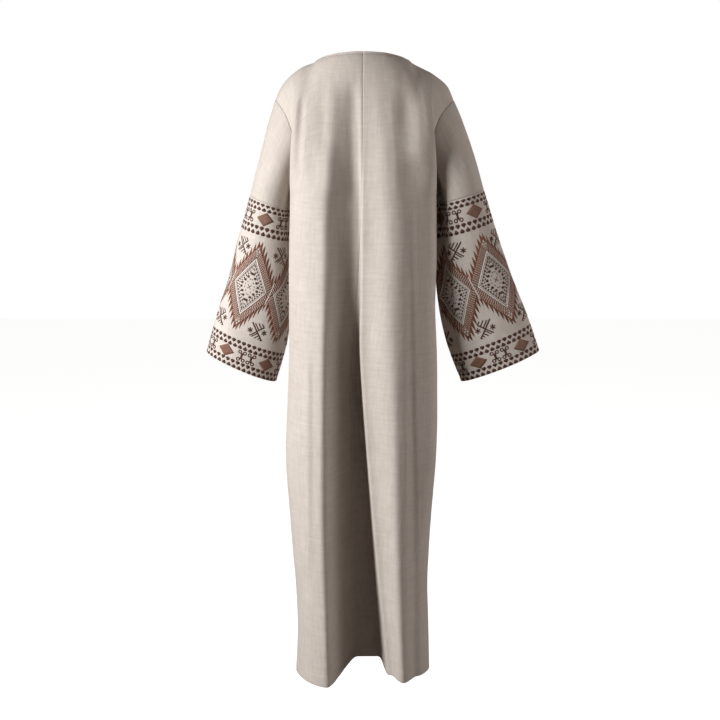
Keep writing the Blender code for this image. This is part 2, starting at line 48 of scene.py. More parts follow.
SEAM_GAP = 0.0004
HEM_Z = -1.416
UNDERARM_Z = -0.290
SIDE_Y = 0.010
BOX_POWER = 3.1
BINDING_HEIGHT = 0.0068
BINDING_THICK = 0.0026
BINDING_WALL = 0.0007
BINDING_GAP = 0.0004
BINDING_ARC = 8
NAPE = (0.0, -0.083, -0.0052)
NECK_SIDE = (0.103, -0.005, -0.0225)
FRONT_NECK = (0.012, 0.098, -0.155)
ARMHOLE_MIDDLE = 0.197
UNDERARM_DIP = 0.030
UNDERARM_DIP_POWER = 4

# Share of the top edge that is neckline, and how straight the upper panels drop at the middle
BACK_NECK_SHARE = 0.50
FRONT_NECK_SHARE = 0.58
BACK_STRAIGHTNESS = 0.75
FRONT_STRAIGHTNESS = 0.35
FRONT_NECK_POWER = 1.6

# Turn from the shoulder, in degrees, over which the armhole tip follows its own arm
TIP_TURN = 60.0
# Share of the half width where the upper panels start to meet the armhole
ARMHOLE_REACH = 0.3

# Corner between neckline and shoulder seam, rounded below the seam: reach along the row as a
# share of the half width, and the share of the drop to the underarm where it is fully round
CORNER_REACH = 0.30
CORNER_DOWN = 0.14

# Sides draw in to the side seam where the cloth is this share of the depth from the middle
SIDE_DRAW_AT = 0.48
SIDE_DRAW_OVER = 0.34
WIDEST_FROM = 0.20
WIDEST_OVER = 0.30

# Folds: lean of the deep pleat, soft ends, calm strip by the side seam, fade below the neck
FOLD_LEAN = math.radians(6.0)
FOLD_END = 0.06
SIDE_CALM = 0.03
SIDE_CALM_OVER = 0.06
FOLD_FADE_FROM = 0.05
FOLD_FADE_OVER = 0.35
HEM_LIFT = 0.12
HEM_LIFT_Z = -1.15
HEM_LIFT_OVER = 0.25

# Grid counts: rows above and below the underarm, columns under the neck and the shoulder seam
UPPER_ROWS = 56
LOWER_ROWS = 104
BACK_NECK_COLUMNS = 60
FRONT_NECK_COLUMNS = 40
SHOULDER_COLUMNS = 30
SLEEVE_UPPER_ROWS = 30
SLEEVE_LOWER_ROWS = 64
SLEEVE_COLUMNS = 2 * UPPER_ROWS
FINE = 720
NECK_SMOOTHING = 60

# Seams: nearness of shared points, where a seam counts as folded back
SAME_PLACE = 0.00005
NEAR_ZERO = 1e-9
FOLDED_BELOW = 0.5
FOLDED_OVER = 0.3
SHORT_MEAN = 0.1

# Body width and depth: z, left half width, right half width, back depth, front depth
BODY = (
    (-0.170, 0.158, 0.160, 0.120, 0.112),
    (-0.290, 0.161, 0.162, 0.126, 0.124),
    (-0.430, 0.165, 0.163, 0.133, 0.132),
    (-0.540, 0.166, 0.161, 0.139, 0.134),
    (-0.650, 0.166, 0.166, 0.146, 0.136),
    (-0.770, 0.171, 0.168, 0.150, 0.138),
    (-0.900, 0.175, 0.166, 0.155, 0.140),
    (-1.000, 0.169, 0.159, 0.158, 0.142),
    (-1.100, 0.163, 0.153, 0.161, 0.144),
    (-1.200, 0.156, 0.149, 0.164, 0.146),
    (-1.300, 0.153, 0.152, 0.167, 0.148),
    (-1.416, 0.157, 0.155, 0.171, 0.150),
)

# Side seam: z, x to either side
SIDE_SEAM = (
    (-0.290, 0.149),
    (-0.340, 0.146),
    (-0.420, 0.143),
    (-1.416, 0.143),
)

# Shoulder seam: fraction from neck to arm, left x, right x, z
SHOULDER = (
    (0.00, 0.103, 0.103, -0.0225),
    (0.25, 0.131, 0.121, -0.032),
    (0.50, 0.157, 0.155, -0.049),
    (0.75, 0.179, 0.185, -0.073),
    (1.00, 0.194, 0.200, -0.104),
)

# Armhole over the back: turn from the shoulder, x outwards from ARMHOLE_MIDDLE, y, z
ARMHOLE_BACK = (
    (0.0, 0.000, 0.000, -0.104),
    (12.0, -0.005, -0.020, -0.108),
    (30.0, -0.022, -0.046, -0.127),
    (62.0, -0.040, -0.061, -0.165),
    (100.0, -0.047, -0.055, -0.215),
    (142.0, -0.048, -0.026, -0.260),
    (180.0, -0.048, 0.010, -0.290),
)

# Armhole over the front, with the same columns
ARMHOLE_FRONT = (
    (0.0, 0.000, 0.000, -0.104),
    (12.0, -0.005, 0.020, -0.108),
    (30.0, -0.021, 0.047, -0.127),
    (62.0, -0.037, 0.068, -0.168),
    (100.0, -0.045, 0.066, -0.222),
    (142.0, -0.048, 0.043, -0.264),
    (180.0, -0.048, 0.010, -0.290),
)

# Deep pleat down the centre back:
# z, start x, floor left x, floor right x, edge x, ridge x, depth, depth at the edge
CENTRE_FOLD = (
    (-0.030, -0.075, -0.028, -0.019, -0.002, 0.030, 0.000, 0.000),
    (-0.095, -0.076, -0.028, -0.019, -0.002, 0.036, 0.006, 0.004),
    (-0.162, -0.079, -0.026, -0.016, -0.002, 0.046, 0.012, 0.009),
    (-0.331, -0.084, -0.022, -0.012, -0.002, 0.062, 0.028, 0.020),
    (-0.540, -0.089, -0.025, -0.016, -0.006, 0.065, 0.050, 0.028),
    (-0.646, -0.091, -0.027, -0.018, -0.008, 0.070, 0.075, 0.032),
    (-0.754, -0.092, -0.025, -0.016, -0.002, 0.075, 0.095, 0.035),
    (-0.864, -0.093, -0.023, -0.010, 0.006, 0.080, 0.105, 0.038),
    (-0.975, -0.094, -0.022, -0.003, 0.015, 0.083, 0.110, 0.040),
    (-1.088, -0.092, -0.023, 0.003, 0.025, 0.088, 0.118, 0.042),
    (-1.203, -0.088, -0.024, 0.009, 0.036, 0.091, 0.125, 0.046),
    (-1.319, -0.084, -0.026, 0.016, 0.048, 0.094, 0.130, 0.048),
    (-1.416, -0.080, -0.027, 0.022, 0.056, 0.097, 0.134, 0.050),
)

# Small back folds: z top, z bottom, x top, x bottom, half width, depth top, depth bottom.
# The first two are shallower here than in the solids, and the next three are here only.
BACK_FOLDS = (
    (-0.070, -0.340, 0.088, 0.101, 0.032, 0.006, 0.004),
    (-0.080, -0.330, 0.132, 0.142, 0.026, -0.001, -0.001),
    (-0.050, -0.340, -0.064, -0.066, 0.026, -0.003, -0.003),
    (-0.050, -0.340, -0.022, -0.024, 0.022, 0.004, 0.003),
    (-0.180, -1.500, -0.082, -0.081, 0.030, -0.005, -0.005),
    (-0.070, -0.310, -0.128, -0.146, 0.013, 0.004, 0.003),
    (-0.200, -1.500, 0.126, 0.130, 0.060, 0.010, 0.024),
    (-0.300, -1.500, 0.100, 0.118, 0.016, 0.003, 0.008),
    (-0.250, -1.500, -0.104, -0.100, 0.052, -0.006, -0.008),
    (-0.640, -1.180, -0.121, -0.124, 0.012, -0.003, -0.003),
)

# Front folds: z top, z bottom, x top, x bottom, half width, depth top, depth bottom
FRONT_FOLDS = (
    (-0.330, -1.700, -0.076, -0.080, 0.046, 0.000, 0.052),
    (-0.380, -1.700, 0.070, 0.078, 0.046, 0.000, 0.056),
)

# Centre-back seam: z, x
BACK_SEAM = (
    (-0.005, 0.000),
    (-0.315, -0.004),
    (-0.500, -0.012),
    (-0.690, -0.028),
    (-1.035, -0.030),
    (-1.154, -0.040),
    (-1.416, -0.042),
)

# Front edge: z, x to either side
FRONT_EDGE = (
    (-0.155, 0.012),
    (-0.600, 0.015),
    (-1.416, 0.026),
)

# Sleeves: distance along, outer x, outer z, inner x, inner z, half depth.
# Distance 0 is the armhole, 1 the panel seam and 2 the cuff.
SLEEVE_LEFT = (
    (0.00, 0.194, -0.104, 0.149, -0.290, 0.060),
    (0.25, 0.208, -0.147, 0.153, -0.300, 0.062),
    (0.50, 0.220, -0.191, 0.156, -0.314, 0.064),
    (0.75, 0.236, -0.250, 0.158, -0.329, 0.065),
    (1.00, 0.253, -0.313, 0.159, -0.345, 0.066),
    (1.25, 0.280, -0.404, 0.160, -0.440, 0.063),
    (1.50, 0.303, -0.494, 0.164, -0.545, 0.060),
    (1.75, 0.333, -0.584, 0.173, -0.645, 0.058),
    (2.00, 0.358, -0.669, 0.200, -0.738, 0.056),
)
SLEEVE_RIGHT = (
    (0.00, 0.200, -0.104, 0.149, -0.290, 0.060),
    (0.25, 0.219, -0.146, 0.153, -0.300, 0.061),
    (0.50, 0.236, -0.190, 0.156, -0.311, 0.062),
    (0.75, 0.254, -0.244, 0.158, -0.322, 0.062),
    (1.00, 0.270, -0.300, 0.159, -0.333, 0.061),
    (1.25, 0.300, -0.392, 0.162, -0.436, 0.056),
    (1.50, 0.333, -0.485, 0.170, -0.545, 0.051),
    (1.75, 0.372, -0.578, 0.192, -0.650, 0.047),
    (2.00, 0.404, -0.667, 0.226, -0.739, 0.044),
)

# Valley down the back of each sleeve, beside the body: distance along, where it starts and is
# full in degrees round the ring, left then right, share of the depth it takes, left and right
SLEEVE_VALLEY = (
    (0.00, 128.0, 150.0, 116.0, 136.0, 0.00, 0.00),
    (0.15, 128.0, 150.0, 114.0, 134.0, 0.20, 0.32),
    (0.40, 130.0, 152.0, 116.0, 136.0, 0.50, 0.82),
    (1.00, 130.0, 154.0, 121.0, 139.0, 0.56, 0.86),
    (1.50, 132.0, 160.0, 130.0, 150.0, 0.34, 0.60),
    (2.00, 140.0, 170.0, 140.0, 165.0, 0.00, 0.00),
)

# Soft undulation of the cloth: height, size across, size down
CREASES = (
    (0.0011, 0.060, 0.330),
    (0.0006, 0.026, 0.090),
    (0.00022, 0.009, 0.015),
)

# Seams and turned edges: depth of the dip, reach of the dip, width of the turned hem
SEAM_DIP = 0.0006
SEAM_REACH = 0.0035
HEM_TURN = 0.022
HEM_RISE = 0.0003

# Machine stitches: pitch, length, width, height above the cloth
STITCH_PITCH = 0.0034
STITCH_LENGTH = 0.0026
STITCH_WIDTH = 0.0005
STITCH_HEIGHT = 0.0003

# Share of a stitch's half length where it is at its full width
STITCH_FULL = 0.62

# Turned edges: width at the front edge and the cuff, ramp at the inner line, rounding at the edge
FRONT_TURN = 0.012
CUFF_TURN = 0.006
TURN_RAMP = 0.002
EDGE_ROUND = 0.0015

# Extra grid lines beside a seam in cells, and the width of a cell at the front edge
SEAM_LINES = (0.35, 0.7)
BOTH_ENDS = SEAM_LINES + tuple(-line for line in SEAM_LINES)
FRONT_CELL = 0.0045

# Edges of the panels: seams, turned edges with their width, stitch rows with their distance
HEM = ("bottom", HEM_TURN)
BACK_EDGES = {"seams": ("first", "last", "top"), "turned": (HEM,), "stitched": (HEM, ("top", 0.003))}
FRONT_EDGES = {
    "seams": ("last", "top"),
    "turned": (HEM, ("first", FRONT_TURN)),
    "stitched": (HEM, ("first", FRONT_TURN), ("first", 0.002), ("top", 0.003)),
}
UPPER_EDGES = {
    "seams": ("top", "bottom"),
    "turned": (),
    "stitched": (("top", 0.002), ("top", 0.008), ("bottom", 0.002)),
}
LOWER_EDGES = {
    "seams": ("top",),
    "turned": (("bottom", CUFF_TURN),),
    "stitched": (("bottom", 0.004),),
}

# Embroidery, in millimetres on the flat sleeve panel: x across, y down from the panel seam
PANEL_LENGTH = 380.0
REPEAT = 104.0
REPEATS = range(-3, 4)
# Left sleeve, then right: scale across, place of the middle line from the outer line of the
# sleeve, lean of the middle line down to the cuff
PATTERN_SCALE = (0.95, 1.03)
PATTERN_START = (96.0, 69.5)
PATTERN_LEAN = (-24.0, -18.5)
# How far the pattern is laid to either side of the outer line, and its end before the inner line
LAY_REACH = 260
LAY_END = 1.0
# Height of the thread, and of the light thread over others; how far a stitch body goes in;
# height at the rim of a small body and of a wide patch, as a share
THREAD_HEIGHT = 0.45
HIGH_THREAD = 0.63
SKIRT_DEPTH = 0.15
PAD_RIM = 0.7
PATCH_RIM = 0.75
# Cells of the wide patches: comb strokes, satin diamonds, rows of the great diamond
COMB_CELL = 4.0
SOLID_CELL = 5.0
GREAT_CELL = 6.0
# Bands of the panel, as shares of its length
STRIPS = (0.035, 0.170, 0.846, 0.973)
BANDS = (0.102, 0.910)
DIAMOND_AT = 0.500
COMBS_AT = (0.280, 0.733)
# Left sleeve, then right: sideways shift of the bands, and of the upper and the lower combs
BAND_SHIFT = (-4.0, 0.0)
COMB_SHIFT = ((7.0, 0.0), (13.0, 11.0))
# Strips: drops in a repeat, outline of a drop above the middle line
DROPS = 8
DROP = ((-3.0, -9.2), (0.0, -9.6), (3.0, -9.2), (5.1, -7.4), (5.0, -5.2),
        (0.6, -0.7), (-0.6, -0.7), (-5.0, -5.2), (-5.1, -7.4))
# Half width and half height of the satin diamond
SOLID = (21.0, 15.5)
# Rings: columns, distance above and below, inner and outer radius, sides
RING_COLUMNS = (-18.0, -6.0, 6.0, 18.0)
RING_ROW = 8.9
RING = (2.2, 4.7)
RING_SIDES = 12
# Bow-ties: columns, half width at the ends and in the middle, half height
BOW_COLUMNS = (-12.0, 12.0)
BOW = (3.3, 2.3, 7.6)
# Crossed diagonals: start, end, width; strokes above and below: place on the diagonal, length
CROSS = (
    ((-17.0, -17.0), (17.5, 17.5), 3.0),
    ((-14.0, 14.0), (-1.2, 1.2), 2.8),
    ((1.2, -1.2), (13.5, -13.5), 2.8),
)
COMB_ABOVE = ((3.5, 13.4), (8.4, 10.6), (13.0, 6.7))
COMB_BELOW = ((3.0, 11.7), (7.6, 8.5), (12.0, 4.6), (16.0, 2.6))
COMB_WIDTH = 2.5
# Flowers: places, half length of a ray, turn of the first ray and of the next in degrees
FLOWERS = ((-16.5, 1.5), (17.0, -1.5))
FLOWER_RAY = 6.4
FLOWER_TURN = (15.0, 60.0)
# Half width and half height of the great diamond, and its mirrored quarters
GREAT = (62.5, 94.0)
QUARTERS = ((-1, -1), (-1, 1), (1, -1), (1, 1))
# Spikes on a quarter, height of the one at its tip, how much taller the others are, depth of
# their root, and their lean on one pair of quarters and on the other
SPIKES = 7
SPIKE = 16.0
SPIKE_MORE = 4.5
SPIKE_ROOT = 3.0
SPIKE_LEANS = (0.35, 0.75)
# Net: its inner and outer edge and its rows of dots as shares of the great diamond, their
# spacing, half width and half height of a dot, what is left clear where two diamonds meet
NET = (0.717, 1.0)
NET_ROWS = (0.748, 0.800, 0.852, 0.904, 0.956)
NET_SPACING = 4.7
DOT = (1.1, 1.4)
DOT_CLEAR = 1.0
# Pale figure in the tips of the net: share where it stands, its four dots and their size
TIP_FIGURE_AT = 0.86
TIP_FIGURE = ((0.0, -5.2), (-3.6, 0.0), (3.6, 0.0), (0.0, 5.2))
TIP_DOT = (2.0, 2.2)
# Rows of the great diamond: inner and outer share, pieces a quarter, start and end of a piece
LIGHT_ROWS = ((0.640, 0.704, 1, 0.0, 1.0), (0.590, 0.624, 1, 0.0, 1.0))
DARK_ROWS = (
    (0.705, 0.718, 8, 0.0, 1.0),
    (0.625, 0.639, 8, 0.0, 1.0),
    (0.574, 0.589, 8, 0.0, 1.0),
    (0.510, 0.574, 9, 0.25, 0.72),
    (0.435, 0.480, 7, 0.25, 0.72),
)
# Figures inside them: share, number a quarter, outline; and a cross: half length, width
FIGURES = (
    (0.365, 4, ((-2.9, -2.6), (2.9, -2.6), (2.9, 2.6), (-2.9, 2.6))),
    (0.220, 3, ((-1.3, 0.0), (0.0, -1.9), (1.3, 0.0), (0.0, 1.9))),
)
MIDDLE_CROSS = (6.5, 1.3)
# Light line where two great diamonds meet: reach across and up, width
JUNCTION = (4.0, 26.0, 2.4)

# Colours of the cloths: light, dark
CLOTHS = {
    "cloth_linen": ((0.730, 0.665, 0.610), (0.670, 0.608, 0.553)),
    "panel_linen": ((0.780, 0.718, 0.666), (0.730, 0.665, 0.610)),
}
# Threads and slubs of the linen: stretch across and down, scale, darkest shade, bump strength
LINEN_NOISES = (
    ((1.0, 0.05), 900.0, (0.90, 0.895, 0.89), 0.50),
    ((0.06, 1.0), 800.0, (0.90, 0.895, 0.89), 0.45),
    ((1.0, 0.10), 170.0, (0.90, 0.893, 0.885), 0.0),
    ((0.12, 1.0), 140.0, (0.90, 0.893, 0.885), 0.0),
)
# Pitch of the weave and of the satin stitches; bump distances, and bump strengths of these two
WEAVE_PITCH = 0.0011
SATIN_PITCH = 0.0009
WEAVE_BUMP = (0.00025, 0.55)
SATIN_BUMP = (0.0003, 0.6)
FIBRE_BUMP = 0.0003
# Threads: light colour, dark colour, direction of the stitches, colour of the sheen
THREADS = {
    "sewing_thread": ((0.56, 0.50, 0.43), (0.47, 0.41, 0.35), "X", (1.0, 1.0, 1.0)),
    "thread_dark": ((0.115, 0.048, 0.034), (0.075, 0.030, 0.022), "X", (1.0, 0.6, 0.45)),
    "thread_rust": ((0.265, 0.100, 0.058), (0.180, 0.066, 0.038), "X", (1.0, 0.6, 0.4)),
    "thread_brown": ((0.280, 0.148, 0.100), (0.200, 0.103, 0.070), "X", (1.0, 0.7, 0.5)),
    "thread_light": ((0.86, 0.81, 0.75), (0.78, 0.73, 0.67), "Y", (1.0, 1.0, 1.0)),
}
WHITE = (1.0, 1.0, 1.0)

# Camera and floor
CAMERA_DISTANCE = 3.0
CAMERA_X = -0.0066
CAMERA_Z = -0.0905
CAMERA_TILT = math.radians(11.3)
CAMERA_SENSOR = 36.0
CAMERA_LENS = 66.6
FLOOR_Z = -1.60
FLOOR_HALF = 6.0
FLOOR_COLOUR = (0.45, 0.45, 0.45)
FLOOR_GLOW = 0.93

# Dim world that lights the cloth
WORLD_COLOUR = (1.0, 0.84, 0.745)
WORLD_STRENGTH = 0.080

# Lights: name, turn from the camera to its left and rise in degrees, distance, size, power,
# colour; they face the middle of the garment at this height
LIT_MIDDLE_Z = -0.52
LIGHTS = (
    ("key", 57.0, 12.0, 2.5, 1.0, 86.0, (1.0, 1.0, 1.0)),
    ("fill", -82.0, 8.0, 3.0, 1.8, 37.0, (1.0, 0.95, 0.92)),
)


def smooth(t):
    """Ease from 0 to 1."""
    t = np.clip(t, 0.0, 1.0)
    return t * t * (3.0 - 2.0 * t)


def follow(table, column, at):
    """Smooth curve through one column of a table, by its first column."""
    rows = sorted(table)
    keys = np.array([row[0] for row in rows])
    values = np.array([row[column] for row in rows])
    steps = np.diff(keys)
    slopes = np.diff(values) / steps
    tangents = np.empty(len(values))
    tangents[0] = slopes[0]
    tangents[-1] = slopes[-1]
    weights = steps[:-1] + steps[1:]
    tangents[1:-1] = (steps[:-1] * slopes[1:] + steps[1:] * slopes[:-1]) / weights
    at = np.clip(np.asarray(at, dtype=float), keys[0], keys[-1])
    cell = np.clip(np.searchsorted(keys, at, side="right") - 1, 0, len(steps) - 1)
    t = (at - keys[cell]) / steps[cell]
    low, high = values[cell], values[cell + 1]
    low_pull = tangents[cell] * steps[cell]
    high_pull = tangents[cell + 1] * steps[cell]
    return (low + (high - low) * smooth(t) + low_pull * t * (1.0 - t) ** 2
            - high_pull * t * t * (1.0 - t))


def fold_depth(folds, x, z):
    """Inward push of the small folds."""
    push = np.zeros_like(x)
    for top, bottom, x_top, x_bottom, half, depth_top, depth_bottom in folds:
        along = np.clip((top - z) / (top - bottom), 0.0, 1.0)
        middle = x_top + (x_bottom - x_top) * along
        depth = depth_top + (depth_bottom - depth_top) * along
        ends = smooth((top - z) / FOLD_END) * smooth((z - bottom) / FOLD_END)
        across = np.clip(1.0 - np.abs(x - middle) / half, 0.0, 1.0)
        push += depth * ends * smooth(across)
    return push


def centre_depth(x, z):
    """Inward push of the deep centre-back pleat."""
    start, left, right, edge, ridge, depth, at_edge = [
        follow(CENTRE_FOLD, column, z) for column in range(1, 8)]
    down = depth * smooth((x - start) / (left - start))
    flank = depth + (at_edge - depth) * smooth((x - right) / (edge - right))
    crown = at_edge * (1.0 - smooth((x - edge) / (ridge - edge)))
    push = np.where(x < left, down, depth)
    push = np.where(x > right, flank, push)
    return np.where(x > edge, crown, push)


def section(z, facing):
    """Body outline at height z: facing -1 is the back, +1 the front."""
    angle = np.linspace(-math.pi / 2, math.pi / 2, 2 * FINE + 1)
    bend = np.sin(angle)
    depth = follow(BODY, 3 if facing < 0 else 4, z)
    side_x = follow(SIDE_SEAM, 1, z)
    if facing < 0:
        half = np.where(angle < 0, follow(BODY, 1, z), follow(BODY, 2, z))
    else:
        half = np.full_like(angle, side_x)
    x = np.sign(bend) * half * np.abs(bend) ** (2.0 / BOX_POWER)
    reach = np.cos(angle).clip(0.0, 1.0) ** (2.0 / BOX_POWER)
    y = SIDE_Y + facing * (depth - facing * SIDE_Y) * reach
    pinch = smooth((SIDE_DRAW_AT - np.abs(y) / depth) / SIDE_DRAW_OVER)
    x -= np.sign(bend) * (half - side_x) * pinch
    for side in (-1, 1):
        mine = side * x > 0
        widest = np.max(side * x[mine])
        bump = smooth((np.abs(y[mine]) / depth - WIDEST_FROM) / WIDEST_OVER)
        x[mine] *= 1.0 + (half[mine] / widest - 1.0) * bump
    return np.stack([x, y, np.full_like(x, float(z))], axis=1)


def lengths(points):
    """Distance along a line of points."""
    steps = np.linalg.norm(np.diff(points, axis=0), axis=1)
    return np.concatenate([[0.0], np.cumsum(steps)])


def at_length(points, along, wanted):
    """Points at given distances along a line."""
    return np.stack([np.interp(wanted, along, points[:, k]) for k in range(3)], axis=1)


def armhole(side, angles):
    """Points of the armhole loop at angles in degrees, over the back and on round the front."""
    angles = np.asarray(angles, dtype=float) % 360.0
    over_back = angles <= 180.0
    down = np.where(over_back, angles, 360.0 - angles)
    point = [np.where(over_back, follow(ARMHOLE_BACK, k, down), follow(ARMHOLE_FRONT, k, down))
             for k in (1, 2, 3)]
    tip = SHOULDER[-1][1] if side < 0 else SHOULDER[-1][2]
    tip_share = smooth(1.0 - down / TIP_TURN)
    x = side * (ARMHOLE_MIDDLE + point[0] + (tip - ARMHOLE_MIDDLE) * tip_share)
    return np.stack([x, point[1], point[2]], axis=1)


def neck_share(facing):
    """Share of the top edge that is neckline."""
    return BACK_NECK_SHARE if facing < 0 else FRONT_NECK_SHARE


def top_edge(facing, fractions):
    """Neckline and shoulder seam, by signed fraction from the middle to the arm."""
    split = neck_share(facing)
    size = np.abs(fractions)
    side = np.where(fractions < 0, -1.0, 1.0)
    middle = NAPE if facing < 0 else FRONT_NECK
    turn = np.clip(size / split, 0.0, 1.0) * math.pi / 2
    x = middle[0] + (NECK_SIDE[0] - middle[0]) * np.sin(turn)
    y = NECK_SIDE[1] + (middle[1] - NECK_SIDE[1]) * np.cos(turn)
    rise = 1.0 - np.cos(turn) if facing < 0 else np.sin(turn) ** FRONT_NECK_POWER
    z = middle[2] + (NECK_SIDE[2] - middle[2]) * rise
    along = np.clip((size - split) / (1.0 - split), 0.0, 1.0)
    seam_x = np.where(side < 0, follow(SHOULDER, 1, along), follow(SHOULDER, 2, along))
    on_seam = size >= split
    x = np.where(on_seam, seam_x, x)
    y = np.where(on_seam, NECK_SIDE[1] * (1.0 - along), y)
    z = np.where(on_seam, follow(SHOULDER, 3, along), z)
    return np.stack([side * x, y, z], axis=1)


def upper_row(facing, down, chest, fractions):
    """Row between the top edge (0) and the underarm (1)."""
    top = round_corner(top_edge(facing, fractions), fractions, facing, down)
    straight = BACK_STRAIGHTNESS if facing < 0 else FRONT_STRAIGHTNESS
    round_over = straight + (1.0 - straight) * smooth(np.abs(fractions) / neck_share(facing))
    corner = np.column_stack([chest[:, :2], top[:, 2]])
    corner = corner * round_over[:, None] + (top + chest) / 2 * (1.0 - round_over[:, None])
    row = (1 - down) ** 2 * top + 2 * down * (1 - down) * corner + down ** 2 * chest
    turn = 180.0 * down if facing < 0 else 360.0 - 180.0 * down
    for side in (-1, 1):
        end = 0 if side < 0 else -1
        miss = armhole(side, [turn])[0] - row[end]
        near = smooth((side * fractions - ARMHOLE_REACH) / (1.0 - ARMHOLE_REACH))
        row = row + near[:, None] * miss
    return row


def push_folds(row, facing, fade):
    """Lay the folds into a row."""
    x, z = row[:, 0], row[:, 2]
    off_side = smooth((np.abs(row[:, 1] - SIDE_Y) - SIDE_CALM) / SIDE_CALM_OVER)
    moved = row.copy()
    if facing < 0:
        deep = centre_depth(x, z)
        push = (deep + fold_depth(BACK_FOLDS, x, z)) * fade * off_side
        moved[:, 0] += push * math.sin(FOLD_LEAN)
        moved[:, 1] += push * math.cos(FOLD_LEAN)
        moved[:, 2] += HEM_LIFT * deep * smooth((HEM_LIFT_Z - z) / HEM_LIFT_OVER)
    else:
        moved[:, 1] -= fold_depth(FRONT_FOLDS, x, z) * fade * off_side
    return moved


def body_rows(facing):
    """All fine rows of the back or the front, from the shoulder to the hem."""
    chest = section(UNDERARM_Z, facing)
    along = lengths(chest)
    left = along[:FINE] / along[FINE] - 1.0
    right = (along[FINE:] - along[FINE]) / (along[-1] - along[FINE])
    fractions = np.concatenate([left, right])
    dip = UNDERARM_DIP * (1.0 - fractions ** UNDERARM_DIP_POWER)
    chest[:, 2] -= dip
    rows = []
    for down in np.linspace(0.0, 1.0, UPPER_ROWS + 1):
        row = upper_row(facing, down, chest, fractions)
        fade = smooth((down - FOLD_FADE_FROM) / FOLD_FADE_OVER)
        rows.append(push_folds(row, facing, fade))
    for down in np.linspace(0.0, 1.0, LOWER_ROWS + 1)[1:]:
        row = section(UNDERARM_Z + (HEM_Z - UNDERARM_Z) * down, facing)
        row[:, 2] -= dip * (1.0 - down)
        rows.append(push_folds(row, facing, 1.0))
    return rows


def round_corner(row, fractions, facing, down):
    """Top edge as the rows below it see it: its corner at the neck side is rounded."""
    window = np.hanning(int(CORNER_REACH * FINE) + 2)[1:-1]
    window /= window.sum()
    margin = len(window) // 2
    padded = np.pad(row, ((margin, len(window) - 1 - margin), (0, 0)), mode="edge")
    soft = np.stack([np.convolve(padded[:, k], window, mode="valid") for k in range(3)], axis=1)
    near = smooth(1.0 - np.abs(np.abs(fractions) - neck_share(facing)) / CORNER_REACH)
    return row + (soft - row) * (near * smooth(down / CORNER_DOWN))[:, None]


def top_points(facing, side, neck_columns):
    """Points of the top edge of one half: even along the neck, then along the shoulder."""
    split = neck_share(facing)
    neck = top_edge(facing, side * np.linspace(NEAR_ZERO, split, FINE))
    along = lengths(neck)
    neck = at_length(neck, along, np.linspace(0.0, along[-1], neck_columns + 1))
    steps = np.arange(1, SHOULDER_COLUMNS + 1) / SHOULDER_COLUMNS
    return np.concatenate([neck, top_edge(facing, side * (split + (1.0 - split) * steps))])


def half_grid(facing, side):
    """Grid of one half of the back or the front, from the middle outwards."""
    neck_columns = BACK_NECK_COLUMNS if facing < 0 else FRONT_NECK_COLUMNS
    top = top_points(facing, side, neck_columns)
    top_share = lengths(top) / lengths(top)[-1]
    even = np.linspace(0.0, 1.0, len(top))
    near_middle = slice(FINE - FINE // 4, FINE + FINE // 4)
    grid = [top]
    for number, row in enumerate(body_rows(facing)[1:], start=1):
        level = row[FINE, 2]
        cut = side * follow(BACK_SEAM, 1, level) if facing < 0 else follow(FRONT_EDGE, 1, level)
        line = row if side > 0 else row[::-1]
        along = lengths(line)
        begin = np.interp(cut, side * line[near_middle, 0], along[near_middle])
        share = top_share + (even - top_share) * smooth(number / UPPER_ROWS)
        grid.append(at_length(line, along, begin + share * (along[-1] - begin)))
    return np.array(grid)


def sleeve_ring(side, distance, angles):
    """One ring of a sleeve; angle 0 is the outer line, 90 the back."""
    table = SLEEVE_LEFT if side < 0 else SLEEVE_RIGHT
    outer_x, outer_z, inner_x, inner_z, deep = [
        float(follow(table, column, distance)) for column in range(1, 6)]
    begins, full, share = [float(follow(SLEEVE_VALLEY, column, distance))
                           for column in ((1, 2, 5) if side < 0 else (3, 4, 6))]
    turn = np.radians(angles)
    middle_y = SIDE_Y * 0.5 * (1.0 - min(distance, 1.0))
    outer = np.array([side * outer_x, middle_y, outer_z])
    inner = np.array([side * inner_x, middle_y, inner_z])
    middle = (outer + inner) / 2
    ring = middle + np.outer(np.cos(turn), outer - middle)
    valley = share * smooth((angles - begins) / (full - begins)) * (angles < 180.0)
    ring[:, 1] -= deep * np.sin(turn) * (1.0 - valley)
    return ring


def sleeve_grid(side, distances):
    """Rings of a sleeve between two distances."""
    angles = np.arange(SLEEVE_COLUMNS) * 360.0 / SLEEVE_COLUMNS
    loop = armhole(side, angles)
    start = sleeve_ring(side, 0.0, angles)
    grid = []
    for distance in distances:
        ring = sleeve_ring(side, distance, angles)
        ring += (loop - start) * (1.0 - smooth(distance))
        grid.append(ring)
    return np.array(grid)


def unit(vectors):
    """Vectors of length 1."""
    return vectors / np.linalg.norm(vectors, axis=-1, keepdims=True)


def grid_runs(grid, closed):
    """Directions down and across a grid at each of its points."""
    down = np.gradient(grid, axis=0)
    if closed:
        return down, np.roll(grid, -1, axis=1) - np.roll(grid, 1, axis=1)
    return down, np.gradient(grid, axis=1)


def border_of(grid, closed):
    """Row and column numbers of the edge points."""
    rows, columns = grid.shape[:2]
    found = [(row, column) for row in (0, rows - 1) for column in range(columns)]
    if not closed:
        found += [(row, column) for row in range(1, rows - 1) for column in (0, columns - 1)]
    return found


